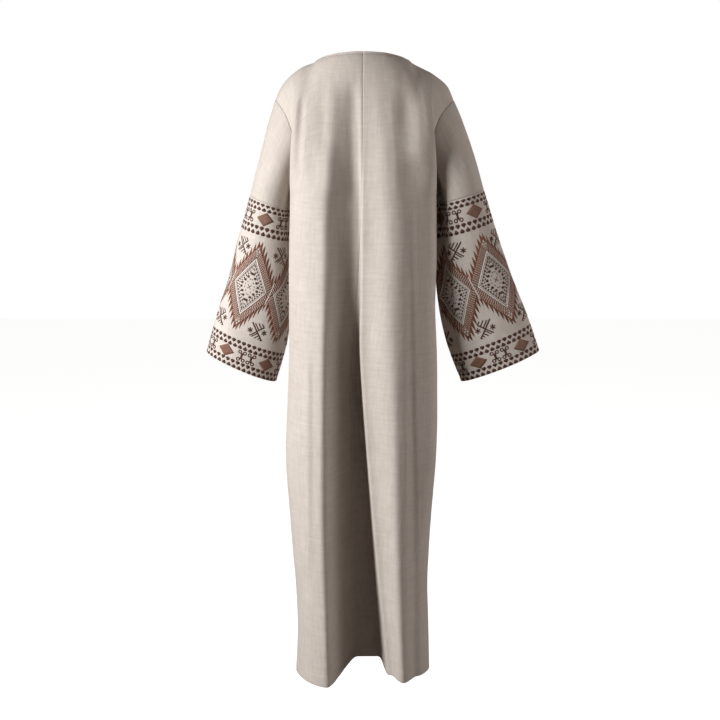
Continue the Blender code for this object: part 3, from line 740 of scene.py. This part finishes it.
def set_normals(panel):
    """Normals that point out of the garment, and room for those shared at the seams."""
    grid, closed = panel["grid"], panel["closed"]
    down, across = grid_runs(grid, closed)
    normals = unit(np.cross(across, down))
    middle = grid.mean(axis=(0, 1)) if closed else np.array([0.0, SIDE_Y, 0.0])
    if (normals * (grid - middle) * (1.0, 1.0, 0.0)).sum() < 0:
        normals = -normals
    panel["normals"] = normals
    panel["border"] = border_of(grid, closed)
    panel["seam_normals"] = normals.copy()
    panel["folded_back"] = np.zeros(grid.shape[:2])


def share_normals(panels):
    """Average the normals where panels meet at a seam."""
    entries = [(panel, spot) for panel in panels for spot in panel["border"]]
    places = np.array([panel["grid"][spot] for panel, spot in entries])
    normals = np.array([panel["normals"][spot] for panel, spot in entries])
    for number, (panel, spot) in enumerate(entries):
        near = np.linalg.norm(places - places[number], axis=1) < SAME_PLACE
        mean = normals[near].mean(axis=0)
        size = np.linalg.norm(mean)
        own = 1.0 - smooth((size - FOLDED_BELOW) / FOLDED_OVER)
        shared = (1.0 - own) * mean / max(size, SHORT_MEAN)
        panel["seam_normals"][spot] = unit(own * normals[number] + shared)
        panel["folded_back"][spot] = own


def edge_move(panel, spot, run, step):
    """Direction from a seam into its own panel, square to the seam plane."""
    move = unit(np.cross(run, panel["seam_normals"][spot]))
    if move.dot(step) < 0:
        move = -move
    return move - panel["folded_back"][spot] * panel["normals"][spot]


def open_seams(panel):
    """Draw the edges of a panel back by half the seam gap."""
    grid = panel["grid"]
    down, across = grid_runs(grid, panel["closed"])
    rows, columns = grid.shape[:2]
    moved = grid.copy()
    for row, column in panel["border"]:
        spot = (row, column)
        if row in (0, rows - 1):
            step = grid[row + (1 if row == 0 else -1), column] - grid[spot]
            moved[spot] += edge_move(panel, spot, across[spot], step) * SEAM_GAP / 2
        if not panel["closed"] and column in (0, columns - 1):
            step = grid[row, column + (1 if column == 0 else -1)] - grid[spot]
            moved[spot] += edge_move(panel, spot, down[spot], step) * SEAM_GAP / 2
    for spot in panel["border"]:
        panel["normals"][spot] = panel["seam_normals"][spot]
    panel["grid"] = moved


def neck_path(panels):
    """Neckline spots of each panel, from one front edge over the nape to the other."""
    path = []
    for name in ("front_left", "back_left", "back_right", "front_right"):
        spots = [(panels[name], (0, k)) for k in range(panels[name]["neck_columns"] + 1)]
        path.append(spots if name in ("front_left", "back_right") else spots[::-1])
    return path


def neck_values(path, key):
    """Values of the panels along the neckline, each place once."""
    spots = path[0] + [spot for stretch in path[1:] for spot in stretch[1:]]
    return np.array([panel[key][spot] for panel, spot in spots])


def smooth_neck(path):
    """Let the normals turn evenly along the neckline."""
    normals = neck_values(path, "seam_normals")
    for repeat in range(NECK_SMOOTHING):
        normals[1:-1] = unit((normals[:-2] + 2.0 * normals[1:-1] + normals[2:]) / 4.0)
    first = 0
    for stretch in path:
        for step, (panel, spot) in enumerate(stretch):
            panel["seam_normals"][spot] = normals[first + step]
        first += len(stretch) - 1


def add_lines(grid, axis, extra):
    """The grid with more lines at fractional line numbers; negative ones count from the end."""
    last = grid.shape[axis] - 1
    places = [last + place if place < 0 else place for place in extra]
    wanted = np.unique(np.concatenate([np.arange(last + 1), places]))
    low = np.minimum(wanted.astype(int), last - 1)
    shape = [1, 1, 1]
    shape[axis] = len(wanted)
    part = (wanted - low).reshape(shape)
    return grid.take(low, axis) * (1.0 - part) + grid.take(low + 1, axis) * part


def wrinkle(points):
    """Soft creases: outward shift of each point, by its place alone."""
    flat = points.reshape(-1, 3)
    shift = np.zeros(len(flat))
    for height, across, down in CREASES:
        scaled = flat / np.array([across, across, down])
        shift += height * np.array([noise.noise(point) for point in scaled])
    return shift.reshape(points.shape[:-1])


def from_edges(grid):
    """Distance of each point from the first and last column and the top and bottom row."""
    found = {}
    for axis, (start, end) in ((1, ("first", "last")), (0, ("top", "bottom"))):
        steps = np.linalg.norm(np.diff(grid, axis=axis), axis=2)
        along = np.cumsum(np.insert(steps, 0, 0.0, axis=axis), axis=axis)
        found[start] = along
        found[end] = along.take([-1], axis) - along
    return found


def relief(panel):
    """Dips along the seams and a slight rise over turned edges."""
    gaps = from_edges(panel["grid"])
    height = np.zeros(panel["grid"].shape[:2])
    for edge in panel["seams"]:
        height -= SEAM_DIP * smooth(1.0 - gaps[edge] / SEAM_REACH)
    for edge, turn in panel["turned"]:
        height += HEM_RISE * smooth((turn + TURN_RAMP / 2 - gaps[edge]) / TURN_RAMP)
        height -= HEM_RISE * smooth(1.0 - gaps[edge] / EDGE_ROUND)
    return height


def grid_faces(rows, columns, closed):
    """Quads of a grid of points."""
    last = columns if closed else columns - 1
    faces = []
    for row in range(rows - 1):
        for column in range(last):
            a, b = row * columns + column, row * columns + (column + 1) % columns
            faces.append([a, b, b + columns, a + columns])
    return faces


def rim_loop(rows, columns):
    """Numbers of the points round a grid: along the top, down the last column and back."""
    last = (rows - 1) * columns
    return (list(range(columns)) + [k * columns - 1 for k in range(2, rows + 1)]
            + list(range(last, last + columns - 1))[::-1]
            + [k * columns for k in range(rows - 2, 0, -1)])


def wall(first, second):
    """Faces between two loops of points."""
    ends = list(zip(first, second))
    return [[b, a, over_a, over_b] for (a, over_a), (b, over_b) in zip(ends, ends[1:] + ends[:1])]


def outward(points, faces):
    """The faces, turned so that they point out of their closed mesh."""
    volume = 0.0
    for face in faces:
        for second, third in zip(face[1:-1], face[2:]):
            volume += points[face[0]].dot(np.cross(points[second], points[third]))
    return faces if volume > 0 else [face[::-1] for face in faces]


def new_object(name, data):
    """New object in the scene."""
    made = bpy.data.objects.new(name, data)
    bpy.context.scene.collection.objects.link(made)
    return made


def new_mesh(name, points, faces, uvs, material):
    """Mesh object with one UV layer in metres, riding on the body."""
    mesh = bpy.data.meshes.new(name)
    mesh.from_pydata(np.asarray(points, dtype=float).tolist(), [], faces)
    corners = np.empty(len(mesh.loops), dtype=np.int32)
    mesh.loops.foreach_get("vertex_index", corners)
    layer = mesh.uv_layers.new(name="cloth")
    layer.data.foreach_set("uv", np.asarray(uvs, dtype=np.float32)[corners].ravel())
    mesh.polygons.foreach_set("use_smooth", np.full(len(mesh.polygons), True))
    mesh.materials.append(material)
    made = new_object(name, mesh)
    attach(made, "root")
    return made


def shell(name, panel, material):
    """Cloth panel with thickness, from its outer grid."""
    outer, closed = panel["outer"], panel["closed"]
    rows, columns = outer.shape[:2]
    inner = panel["joined"] - panel["normals"] * CLOTH_THICK
    points = np.concatenate([outer.reshape(-1, 3), inner.reshape(-1, 3)])
    under = rows * columns
    faces = grid_faces(rows, columns, closed)
    faces += [[k + under for k in reversed(face)] for face in faces]
    last_row = range(under - columns, under)
    rims = [list(range(columns)), list(last_row)[::-1]] if closed else [rim_loop(rows, columns)]
    for rim in rims:
        faces += wall(rim, [k + under for k in rim])
    gaps = from_edges(outer)
    width, drop = gaps["first"].mean(axis=0), gaps["top"].mean(axis=1)
    flat = np.stack(np.meshgrid(width, drop), axis=2).reshape(-1, 2)
    return new_mesh(name, points, outward(points, faces), np.concatenate([flat, flat]), material)


def path_near(panel, edge, gap):
    """Line on a panel at a distance from one edge, with its normals."""
    grid, normals = panel["outer"], panel["normals"]
    if edge in ("top", "bottom"):
        grid, normals = grid.transpose(1, 0, 2), normals.transpose(1, 0, 2)
    if edge in ("last", "bottom"):
        grid, normals = grid[:, ::-1], normals[:, ::-1]
    path, outs = [], []
    for line, outwards in zip(grid, normals):
        along = lengths(line)
        path.append(at_length(line, along, [gap])[0])
        outs.append(at_length(outwards, along, [gap])[0])
    if panel["closed"]:
        path.append(path[0])
        outs.append(outs[0])
    return np.array(path), np.array(outs)


def stitch_row(path, outs):
    """Points and faces of a row of machine stitches along a path."""
    along = lengths(path)
    middles = np.arange(0.5, along[-1] / STITCH_PITCH - 0.5) * STITCH_PITCH
    half = STITCH_LENGTH / 2
    centre = at_length(path, along, middles)
    run = unit(at_length(path, along, middles + half) - at_length(path, along, middles - half))
    up = unit(at_length(outs, along, middles))
    side = np.cross(run, up)
    spindle = [(-1.0, 0.0, 0.0), (1.0, 0.0, 0.0)]
    for end in (-STITCH_FULL, STITCH_FULL):
        spindle += [(end, -1.0, 0.0), (end, 0.0, 1.0), (end, 1.0, 0.0)]
    body = [centre + run * half * a + side * STITCH_WIDTH / 2 * b + up * STITCH_HEIGHT * c
            for a, b, c in spindle]
    points = np.stack(body, axis=1)
    shape = [(0, 3, 2), (0, 4, 3), (0, 2, 4), (1, 6, 7), (1, 5, 6), (1, 7, 5),
             (2, 3, 6, 5), (3, 4, 7, 6), (4, 2, 5, 7)]
    faces = [[len(spindle) * k + corner for corner in face]
             for k in range(len(points)) for face in shape]
    return points.reshape(-1, 3), faces


def stitches(name, panel, material):
    """All the machine stitches of one panel."""
    points, faces = np.zeros((0, 3)), []
    for edge, gap in panel["stitched"]:
        more, rings = stitch_row(*path_near(panel, edge, gap))
        faces += [[len(points) + k for k in face] for face in rings]
        points = np.concatenate([points, more])
    return new_mesh(name + "_stitches", points, faces, points[:, [0, 2]], material)


# Embroidery charts: lists of flat outlines in millimetres

def moved(outline, x, y):
    """Outline at another place."""
    return [(px + x, py + y) for px, py in outline]


def lozenge(across, up):
    """Outline of a diamond, from its half width and half height."""
    return [(-across, 0.0), (0.0, -up), (across, 0.0), (0.0, up)]


def stroke(start, end, width):
    """Four corners of a straight stitch line."""
    start, end = np.array(start), np.array(end)
    run = unit(end - start)
    side = np.array([-run[1], run[0]]) * width / 2
    return [tuple(start + side), tuple(end + side), tuple(end - side), tuple(start - side)]


def ray(x, y, reach, degrees, width):
    """Straight stitch line through a point."""
    across = reach * math.cos(math.radians(degrees))
    up = reach * math.sin(math.radians(degrees))
    return stroke((x - across, y - up), (x + across, y + up), width)


def great_point(share, quarter, flip_x, flip_y):
    """Point of the great diamond: share of its size, and 0 at the tip to 1 at the side."""
    return (flip_x * GREAT[0] * share * quarter, flip_y * GREAT[1] * share * (1.0 - quarter))


def strip_chart():
    """One repeat of the strips: two rows of rounded drops, point to point across a zigzag."""
    drops = []
    pitch = REPEAT / DROPS
    for number in range(DROPS):
        x = (number + 0.5) * pitch - REPEAT / 2
        for shift, turn in ((0.0, 1.0), (pitch / 2, -1.0)):
            drops.append([(x + shift + px, turn * py) for px, py in DROP])
    return drops


def ring_chart():
    """Rings and bow-ties between the satin diamonds."""
    shapes = []
    inner, outer = RING
    for column in RING_COLUMNS:
        for row in (-RING_ROW, RING_ROW):
            for step in range(RING_SIDES):
                start, end = [2.0 * math.pi * (step + k) / RING_SIDES for k in (0, 1)]
                corners = ((inner, start), (outer, start), (outer, end), (inner, end))
                shapes.append([(column + radius * math.cos(turn), row + radius * math.sin(turn))
                               for radius, turn in corners])
    wide, narrow, high = BOW
    for column in BOW_COLUMNS:
        for turn in (-1.0, 1.0):
            shapes.append([(column - wide, turn * high), (column + wide, turn * high),
                           (column + narrow, 0.0), (column - narrow, 0.0)])
    return shapes


def comb_chart():
    """Crossed diagonals with comb strokes above and below, and small flowers to both sides."""
    shapes = [stroke(*line) for line in CROSS]
    for strokes, down in ((COMB_ABOVE, -1), (COMB_BELOW, 1)):
        for step, length in strokes:
            end = (step - length, down * (step + length))
            shapes.append(stroke((step, down * step), end, COMB_WIDTH))
    first, apart = FLOWER_TURN
    for x, y in FLOWERS:
        shapes += [ray(x, y, FLOWER_RAY, first + apart * k, COMB_WIDTH) for k in range(3)]
    return shapes


def spike_chart():
    """Saw-tooth spikes round the great diamond; on two sides they lean further outwards."""
    shapes = []
    slope = GREAT[1] / GREAT[0]
    width = REPEAT / 2 / SPIKES
    for flip_x, flip_y in QUARTERS:
        lean = SPIKE_LEANS[0] if flip_x * flip_y > 0 else SPIKE_LEANS[1]
        for number in range(SPIKES):
            start, end = number * width, (number + 1) * width
            base, low = GREAT[1] - slope * start, GREAT[1] - slope * end
            rise = SPIKE if number == 0 else SPIKE + SPIKE_MORE
            tip = (start + lean * width, (base + low) / 2 + rise)
            outline = [(start, base - SPIKE_ROOT), (start, base), tip, (end, low),
                       (end, low - SPIKE_ROOT)]
            shapes.append([(flip_x * x, flip_y * y) for x, y in outline])
    return shapes


def net_ground():
    """The net's ground, in wide patches that follow the sleeve."""
    patches = []
    for flips in QUARTERS:
        inner_tip, inner_side = [great_point(NET[0], quarter, *flips) for quarter in (0.0, 1.0)]
        outer_tip = great_point(NET[1], 0.0, *flips)
        outer_side = great_point(NET[1], REPEAT / 2 / GREAT[0], *flips)
        patches.append([inner_tip, outer_tip, outer_side, inner_side])
        patches.append([inner_side, outer_side, (flips[0] * REPEAT / 2, 0.0), inner_side])
    return patches


def net_dots():
    """Light dots of the net, in staggered rows, and the small figures in its tips."""
    places = []
    for flips in QUARTERS:
        for number, share in enumerate(NET_ROWS):
            count = int(round(share * math.hypot(*GREAT) / NET_SPACING))
            start = 0.25 + 0.5 * (number % 2)
            places += [great_point(share, (step + start) / count, *flips) for step in range(count)]
    dots = [moved(lozenge(*DOT), x, y) for x, y in places if abs(x) < REPEAT / 2 - DOT_CLEAR]
    for turn in (-1.0, 1.0):
        middle = TIP_FIGURE_AT * GREAT[1]
        dots += [moved(lozenge(*TIP_DOT), x, turn * (middle + y)) for x, y in TIP_FIGURE]
    return dots


def diamond_rows(rows):
    """Lines, teeth and squares along the sides of the great diamond."""
    shapes = []
    for flips in QUARTERS:
        for low, high, count, begin, end in rows:
            corners = ((low, begin), (high, begin), (high, end), (low, end))
            shapes += [[great_point(share, (step + part) / count, *flips)
                        for share, part in corners] for step in range(count)]
    return shapes


def middle_chart():
    """Blocks, small diamonds and a cross in the middle of the great diamond."""
    shapes = [ray(0.0, 0.0, MIDDLE_CROSS[0], turn, MIDDLE_CROSS[1]) for turn in (45.0, 135.0)]
    for flips in QUARTERS:
        for share, count, outline in FIGURES:
            shapes += [moved(outline, *great_point(share, (step + 0.5) / count, *flips))
                       for step in range(count)]
    return shapes


def junction():
    """Light line where two great diamonds meet."""
    across, up, width = JUNCTION
    return [stroke((REPEAT / 2 + across, -up), (REPEAT / 2 - across, up), width)]


def sleeve_map(panel, number):
    """Function that lays points of the flat sleeve panel, in millimetres, on the sleeve."""
    reach = np.arange(-LAY_REACH, LAY_REACH + 1) / 1000.0
    share = panel["share"]
    places, outs, halves = [], [], []
    for row, out in zip(panel["outer"], panel["normals"]):
        loop, turn = np.vstack([row, row[:1]]), np.vstack([out, out[:1]])
        along = lengths(loop)
        halves.append(along[-1] / 2)
        at = np.clip(reach, -halves[-1], halves[-1]) % along[-1]
        places.append(at_length(loop, along, at))
        outs.append(at_length(turn, along, at))
    places, outs, halves = np.array(places), np.array(outs), np.array(halves)

    def lay(flat, height):
        down = np.clip(flat[:, 1] / PANEL_LENGTH, 0.0, 1.0)
        line = np.interp(down, share, np.arange(len(share)))
        low = np.minimum(line.astype(int), len(share) - 2)
        part = (line - low)[:, None]
        across = (flat[:, 0] * PATTERN_SCALE[number] + PATTERN_START[number]
                  + PATTERN_LEAN[number] * down)
        limit = np.interp(down, share, halves) * 1000.0 - LAY_END
        column = np.clip(across, -limit, limit) + LAY_REACH
        left = column.astype(int)
        over = (column - left)[:, None]

        def sample(table):
            upper = table[low, left] * (1 - over) + table[low, left + 1] * over
            lower = table[low + 1, left] * (1 - over) + table[low + 1, left + 1] * over
            return upper * (1 - part) + lower * part

        raised = unit(sample(outs)) * height[:, None] / 1000.0
        return sample(places) + raised, np.abs(across) < limit

    return lay


def pad(outline, height):
    """Raised stitch block: rim at the cloth, shoulder a little lower than the middle."""
    outline = np.array(outline)
    count = len(outline)
    flat = np.vstack([outline, outline, outline.mean(axis=0)])
    rim = np.full(count, -SKIRT_DEPTH)
    heights = np.concatenate([rim, np.full(count, PAD_RIM * height), [height]])
    faces = []
    for k in range(count):
        after = (k + 1) % count
        faces.append([k, after, count + after, count + k])
        faces.append([count + k, count + after, 2 * count])
    return flat, heights, faces


def patch(corners, height, cell):
    """Raised stitch area over four corners, in cells that follow the sleeve."""
    a, b, c, d = [np.array(corner) for corner in corners]
    across, down = [
        max(1, int(math.ceil(max(np.linalg.norm(one), np.linalg.norm(other)) / cell)))
        for one, other in ((b - a, c - d), (d - a, c - b))]
    flat = []
    for row in range(down + 1):
        start, end = a + (d - a) * row / down, b + (c - b) * row / down
        flat += [start + (end - start) * column / across for column in range(across + 1)]
    rim = rim_loop(down + 1, across + 1)
    skirt = range(len(flat), len(flat) + len(rim))
    faces = grid_faces(down + 1, across + 1, False) + wall(rim, skirt)
    heights = np.full(len(flat), height)
    heights[rim] = PATCH_RIM * height
    heights = np.concatenate([heights, np.full(len(rim), -SKIRT_DEPTH)])
    return np.array(flat + [flat[k] for k in rim]), heights, faces


def embroidery(name, bodies, lay, material):
    """One object from many stitch bodies laid on the sleeve."""
    points, faces, uvs, total = [], [], [], 0
    for flat, heights, sides in bodies:
        placed, inside = lay(flat, heights)
        if not inside.any():
            continue
        points.append(placed)
        uvs.append(flat / 1000.0)
        faces += [[total + k for k in face] for face in sides]
        total += len(flat)
    return new_mesh(name, np.concatenate(points), faces, np.concatenate(uvs), material)


def sleeve_charts(number):
    """Stitch bodies of a whole sleeve panel, by thread."""
    bodies = {"dark": [], "rust": [], "brown": [], "light": []}

    def add(word, chart, x, share, cell=None, height=THREAD_HEIGHT):
        for outline in chart:
            placed = moved(outline, x, share * PANEL_LENGTH)
            bodies[word].append(patch(placed, height, cell) if cell else pad(placed, height))

    for repeat in REPEATS:
        x = repeat * REPEAT
        for share in STRIPS:
            add("dark", strip_chart(), x, share)
        for share in BANDS:
            place = x + BAND_SHIFT[number]
            add("dark", ring_chart(), place + REPEAT / 2, share)
            add("brown", [lozenge(*SOLID)], place, share, SOLID_CELL)
        for share, shift in zip(COMBS_AT, COMB_SHIFT[number]):
            add("dark", comb_chart(), x + REPEAT / 2 + shift, share, COMB_CELL)
        add("rust", spike_chart(), x, DIAMOND_AT)
        add("rust", net_ground(), x, DIAMOND_AT, GREAT_CELL)
        add("dark", diamond_rows(DARK_ROWS) + middle_chart(), x, DIAMOND_AT)
        add("light", diamond_rows(LIGHT_ROWS), x, DIAMOND_AT, GREAT_CELL)
        add("light", junction(), x, DIAMOND_AT, GREAT_CELL, HIGH_THREAD)
        add("light", net_dots(), x, DIAMOND_AT, height=HIGH_THREAD)
    return bodies


# Materials

def set_inputs(tree, node, inputs):
    """Set inputs of a shader node to values, or link them to other nodes."""
    for name, value in inputs.items():
        if isinstance(value, bpy.types.NodeSocket):
            tree.links.new(value, node.inputs[name])
        else:
            node.inputs[name].default_value = value
    return node


def add_node(tree, kind, inputs):
    """New shader node with its inputs set."""
    return set_inputs(tree, tree.nodes.new("ShaderNode" + kind), inputs)


def new_material(name, inputs):
    """New material with the inputs of its main shader set."""
    made = bpy.data.materials.new(name)
    made.use_nodes = True
    tree = made.node_tree
    shader = set_inputs(tree, tree.nodes["Principled BSDF"], inputs)
    return made, tree, shader


def stretched_noise(tree, place, scale, size, detail=2.0):
    """Noise over the cloth, stretched along its threads."""
    mapping = add_node(tree, "Mapping", {"Vector": place, "Scale": (*scale, 1.0)})
    texture = add_node(tree, "TexNoise", {
        "Vector": mapping.outputs["Vector"], "Scale": size, "Detail": detail})
    return texture.outputs["Fac"]


def thread_wave(tree, place, direction, period):
    """Fine ribs along one direction of the cloth."""
    texture = add_node(tree, "TexWave", {
        "Vector": place, "Scale": math.pi / 10.0 / period, "Distortion": 0.6, "Detail": 1.0})
    texture.bands_direction = direction
    return texture.outputs["Fac"]


def mixed(tree, factor, low, high):
    """Colour between two colours by a factor."""
    ramp = add_node(tree, "ValToRGB", {"Fac": factor})
    for element, position, colour in zip(ramp.color_ramp.elements, (0.25, 0.75), (low, high)):
        element.position = position
        element.color = (*colour, 1.0)
    return ramp.outputs["Color"]


def multiply(tree, first, second):
    """Product of two colours."""
    node = tree.nodes.new("ShaderNodeMix")
    node.data_type = "RGBA"
    node.blend_type = "MULTIPLY"
    set_inputs(tree, node, {"Factor": 1.0, "A": first, "B": second})
    return node.outputs["Result"]


def bump(tree, height, distance, strength, under=None):
    """Bump from a height, over another bump or the plain surface."""
    inputs = {"Height": height, "Distance": distance, "Strength": strength}
    if under is not None:
        inputs["Normal"] = under
    return add_node(tree, "Bump", inputs).outputs["Normal"]


def linen(name, light, dark):
    """Plain-woven linen with slubs: uneven threads both ways."""
    made, tree, shader = new_material(name, {
        "Roughness": 0.88, "Specular IOR Level": 0.25, "Sheen Weight": 0.12,
        "Sheen Roughness": 0.5, "Sheen Tint": (1.0, 0.96, 0.9, 1.0)})
    place = add_node(tree, "UVMap", {}).outputs["UV"]
    colour = mixed(tree, stretched_noise(tree, place, (1.0, 0.4), 14.0, 3.0), dark, light)
    waves = [thread_wave(tree, place, direction, WEAVE_PITCH) for direction in ("X", "Y")]
    normal = bump(tree, multiply(tree, *waves), *WEAVE_BUMP)
    for scale, size, shade, strength in LINEN_NOISES:
        fibres = stretched_noise(tree, place, scale, size)
        colour = multiply(tree, colour, mixed(tree, fibres, shade, WHITE))
        if strength > 0.0:
            normal = bump(tree, fibres, FIBRE_BUMP, strength, normal)
    set_inputs(tree, shader, {"Base Color": colour, "Normal": normal})
    return made


def thread(name, light, dark, direction, sheen):
    """Satin-stitched thread, with painted shade in the grooves between its stitches."""
    made, tree, shader = new_material(name, {
        "Roughness": 0.5, "Specular IOR Level": 0.25, "Sheen Weight": 0.35,
        "Sheen Roughness": 0.35, "Sheen Tint": (*sheen, 1.0)})
    place = add_node(tree, "UVMap", {}).outputs["UV"]
    ribs = thread_wave(tree, place, direction, SATIN_PITCH)
    colour = mixed(tree, stretched_noise(tree, place, (1.0, 1.0), 160.0), dark, light)
    # Painted shade: the colour is darker in the grooves between the satin stitches, on the same ribs
    # as the bump
    colour = multiply(tree, colour, mixed(tree, ribs, (0.72, 0.70, 0.68), WHITE))
    set_inputs(tree, shader, {"Base Color": colour, "Normal": bump(tree, ribs, *SATIN_BUMP)})
    return made


# Panels

def body_panel(facing, side):
    """Half of the back or the front, with more lines beside its seams and turned edges."""
    row_drop = (UNDERARM_Z - HEM_Z) / LOWER_ROWS
    ramp = (-TURN_RAMP / 2, TURN_RAMP / 2)
    hem = tuple(-(HEM_TURN + shift) / row_drop for shift in ramp) + (-EDGE_ROUND / row_drop,)
    front = tuple((FRONT_TURN + shift) / FRONT_CELL for shift in ramp) if facing > 0 else ()
    grid = add_lines(half_grid(facing, side), 1, BOTH_ENDS + front)
    neck_columns = BACK_NECK_COLUMNS if facing < 0 else FRONT_NECK_COLUMNS
    return {"grid": add_lines(grid, 0, SEAM_LINES + hem), "closed": False,
            "neck_columns": neck_columns + len(SEAM_LINES + front)}


def sleeve_panel(side, start, rows):
    """Upper or lower part of a sleeve, by where it starts along the sleeve."""
    share = np.linspace(0.0, 1.0, rows + 1).reshape(-1, 1, 1)
    share = add_lines(share, 0, BOTH_ENDS).ravel()
    return {"grid": sleeve_grid(side, start + share), "closed": True, "share": share}


def make_panels():
    """Outer grids of all the panels, with seams shared and creases laid in."""
    sides = ((-1, "left"), (1, "right"))
    panels = {}
    for facing, word, edges in ((-1, "back", BACK_EDGES), (1, "front", FRONT_EDGES)):
        for side, hand in sides:
            panels[f"{word}_{hand}"] = {**edges, **body_panel(facing, side)}
    for start, word, rows, edges in ((0.0, "upper", SLEEVE_UPPER_ROWS, UPPER_EDGES),
                                     (1.0, "lower", SLEEVE_LOWER_ROWS, LOWER_EDGES)):
        for side, hand in sides:
            panels[f"sleeve_{word}_{hand}"] = {**edges, **sleeve_panel(side, start, rows)}
    for panel in panels.values():
        set_normals(panel)
    share_normals(panels.values())
    smooth_neck(neck_path(panels))
    for panel in panels.values():
        raised = (relief(panel) + wrinkle(panel["grid"]))[:, :, None]
        joined = panel["grid"]
        open_seams(panel)
        panel["outer"] = panel["grid"] + panel["normals"] * raised
        # The inner side reaches the middle of each seam, so that no light shows through it
        panel["joined"] = joined + panel["normals"] * raised
    return panels


def binding(line, outs, material):
    """Narrow folded band on the neckline."""
    up = unit(np.cross(outs, np.gradient(line, axis=0)))
    low = line + up * BINDING_GAP
    middle = BINDING_THICK / 2
    turns = [math.pi * step / BINDING_ARC for step in range(BINDING_ARC + 1)]
    profile = []
    for radius, way in ((middle, turns), (middle - BINDING_WALL, turns[::-1])):
        arc = [(BINDING_HEIGHT - middle + radius * math.sin(turn),
                middle - radius * math.cos(turn)) for turn in way]
        profile += [(0.0, arc[0][1])] + arc + [(0.0, arc[-1][1])]
    loops = np.array([low + up * height - outs * inset for height, inset in profile])
    count, length = loops.shape[:2]
    faces = [[k * length + step, k * length + step + 1,
              (k + 1) % count * length + step + 1, (k + 1) % count * length + step]
             for k in range(count) for step in range(length - 1)]
    for k in range(count // 2 - 1):
        a, b, c, d = [n * length for n in (k, k + 1, count - 2 - k, count - 1 - k)]
        faces.append([a, b, c, d])
        faces.append([n + length - 1 for n in (d, c, b, a)])
    points = loops.reshape(-1, 3)
    along = lengths(line)
    uvs = [(distance, inset + height) for height, inset in profile for distance in along]
    return new_mesh("neck_binding_cloth", points, outward(points, faces), uvs, material)


def sheet_size(panel):
    """Flat width and length of a panel, and its area."""
    grid = panel["outer"]
    if panel["closed"]:
        grid = np.concatenate([grid, grid[:, :1]], axis=1)
    gaps = from_edges(grid)
    a, b, c, d = grid[:-1, :-1], grid[:-1, 1:], grid[1:, 1:], grid[1:, :-1]
    area = (np.linalg.norm(np.cross(c - a, d - b), axis=2) / 2).sum()
    return gaps["first"][:, -1].max(), gaps["top"][-1].max(), area


def dress():
    """Every visible piece of the garment."""
    cloths = {name: linen(name, *colours) for name, colours in CLOTHS.items()}
    threads = {name: thread(name, *looks) for name, looks in THREADS.items()}
    panels = make_panels()
    for name, panel in panels.items():
        embroidered = "lower" in name
        cloth = cloths["panel_linen" if embroidered else "cloth_linen"]
        piece = shell(name + "_cloth", panel, cloth)
        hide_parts(name)
        parts = [stitches(name, panel, threads["sewing_thread"])]
        if embroidered:
            number = 0 if "left" in name else 1
            lay = sleeve_map(panel, number)
            for word, bodies in sleeve_charts(number).items():
                parts.append(embroidery(f"{name}_{word}", bodies, lay, threads["thread_" + word]))
        width, length, area = sheet_size(panel)
    path = neck_path(panels)
    line = neck_values(path, "outer")
    piece = binding(line, neck_values(path, "seam_normals"), cloths["cloth_linen"])
    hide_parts("neck_binding")
    length = lengths(line)[-1]


# Floor, light and camera

def area_light(name, turn, rise, away, size, energy, colour):
    """Round softbox that faces the middle of the garment."""
    turn, rise = math.radians(turn), math.radians(rise)
    data = bpy.data.lights.new(name, "AREA")
    data.shape = "DISK"
    data.size = size
    data.energy = energy
    data.color = colour
    made = new_object(name, data)
    made.location = (-away * math.sin(turn) * math.cos(rise),
                     -away * math.cos(turn) * math.cos(rise),
                     LIT_MIDDLE_Z + away * math.sin(rise))
    made.rotation_euler = (math.pi / 2 - rise, 0.0, -turn)


def lay_floor():
    """Pale floor that takes no part in lighting the garment."""
    mesh = bpy.data.meshes.new("floor")
    corners = ((-1, -1), (1, -1), (1, 1), (-1, 1))
    points = [(FLOOR_HALF * x, FLOOR_HALF * y, FLOOR_Z) for x, y in corners]
    mesh.from_pydata(points, [], [(0, 1, 2, 3)])
    pale = new_material("floor_pale", {
        "Base Color": (*FLOOR_COLOUR, 1.0), "Roughness": 1.0, "Specular IOR Level": 0.0,
        "Emission Color": (*WHITE, 1.0), "Emission Strength": FLOOR_GLOW})
    mesh.materials.append(pale[0])
    floor = new_object("floor", mesh)
    floor.visible_diffuse = False
    floor.visible_glossy = False


def light_studio():
    """White surround for the camera, a dim warm world, a key from the photo's left and a fill."""
    world = bpy.data.worlds.new("studio")
    bpy.context.scene.world = world
    world.use_nodes = True
    tree = world.node_tree
    dim = set_inputs(tree, tree.nodes["Background"], {
        "Color": (*WORLD_COLOUR, 1.0), "Strength": WORLD_STRENGTH})
    white = add_node(tree, "Background", {"Color": (*WHITE, 1.0), "Strength": 1.0})
    mix = add_node(tree, "MixShader", {
        "Fac": add_node(tree, "LightPath", {}).outputs["Is Camera Ray"]})
    tree.links.new(dim.outputs["Background"], mix.inputs[1])
    tree.links.new(white.outputs["Background"], mix.inputs[2])
    set_inputs(tree, tree.nodes["World Output"], {"Surface": mix.outputs["Shader"]})
    for light in LIGHTS:
        area_light(*light)
    bpy.context.scene.view_settings.view_transform = "Standard"


def camera():
    """Camera at the photograph's angle."""
    data = bpy.data.cameras.new("camera")
    data.sensor_width = CAMERA_SENSOR
    data.lens = CAMERA_LENS
    made = new_object("camera", data)
    made.location = (CAMERA_X, -CAMERA_DISTANCE, CAMERA_Z)
    made.rotation_euler = (math.pi / 2 - CAMERA_TILT, 0.0, 0.0)
    bpy.context.scene.camera = made


dress()
lay_floor()
light_studio()
camera()
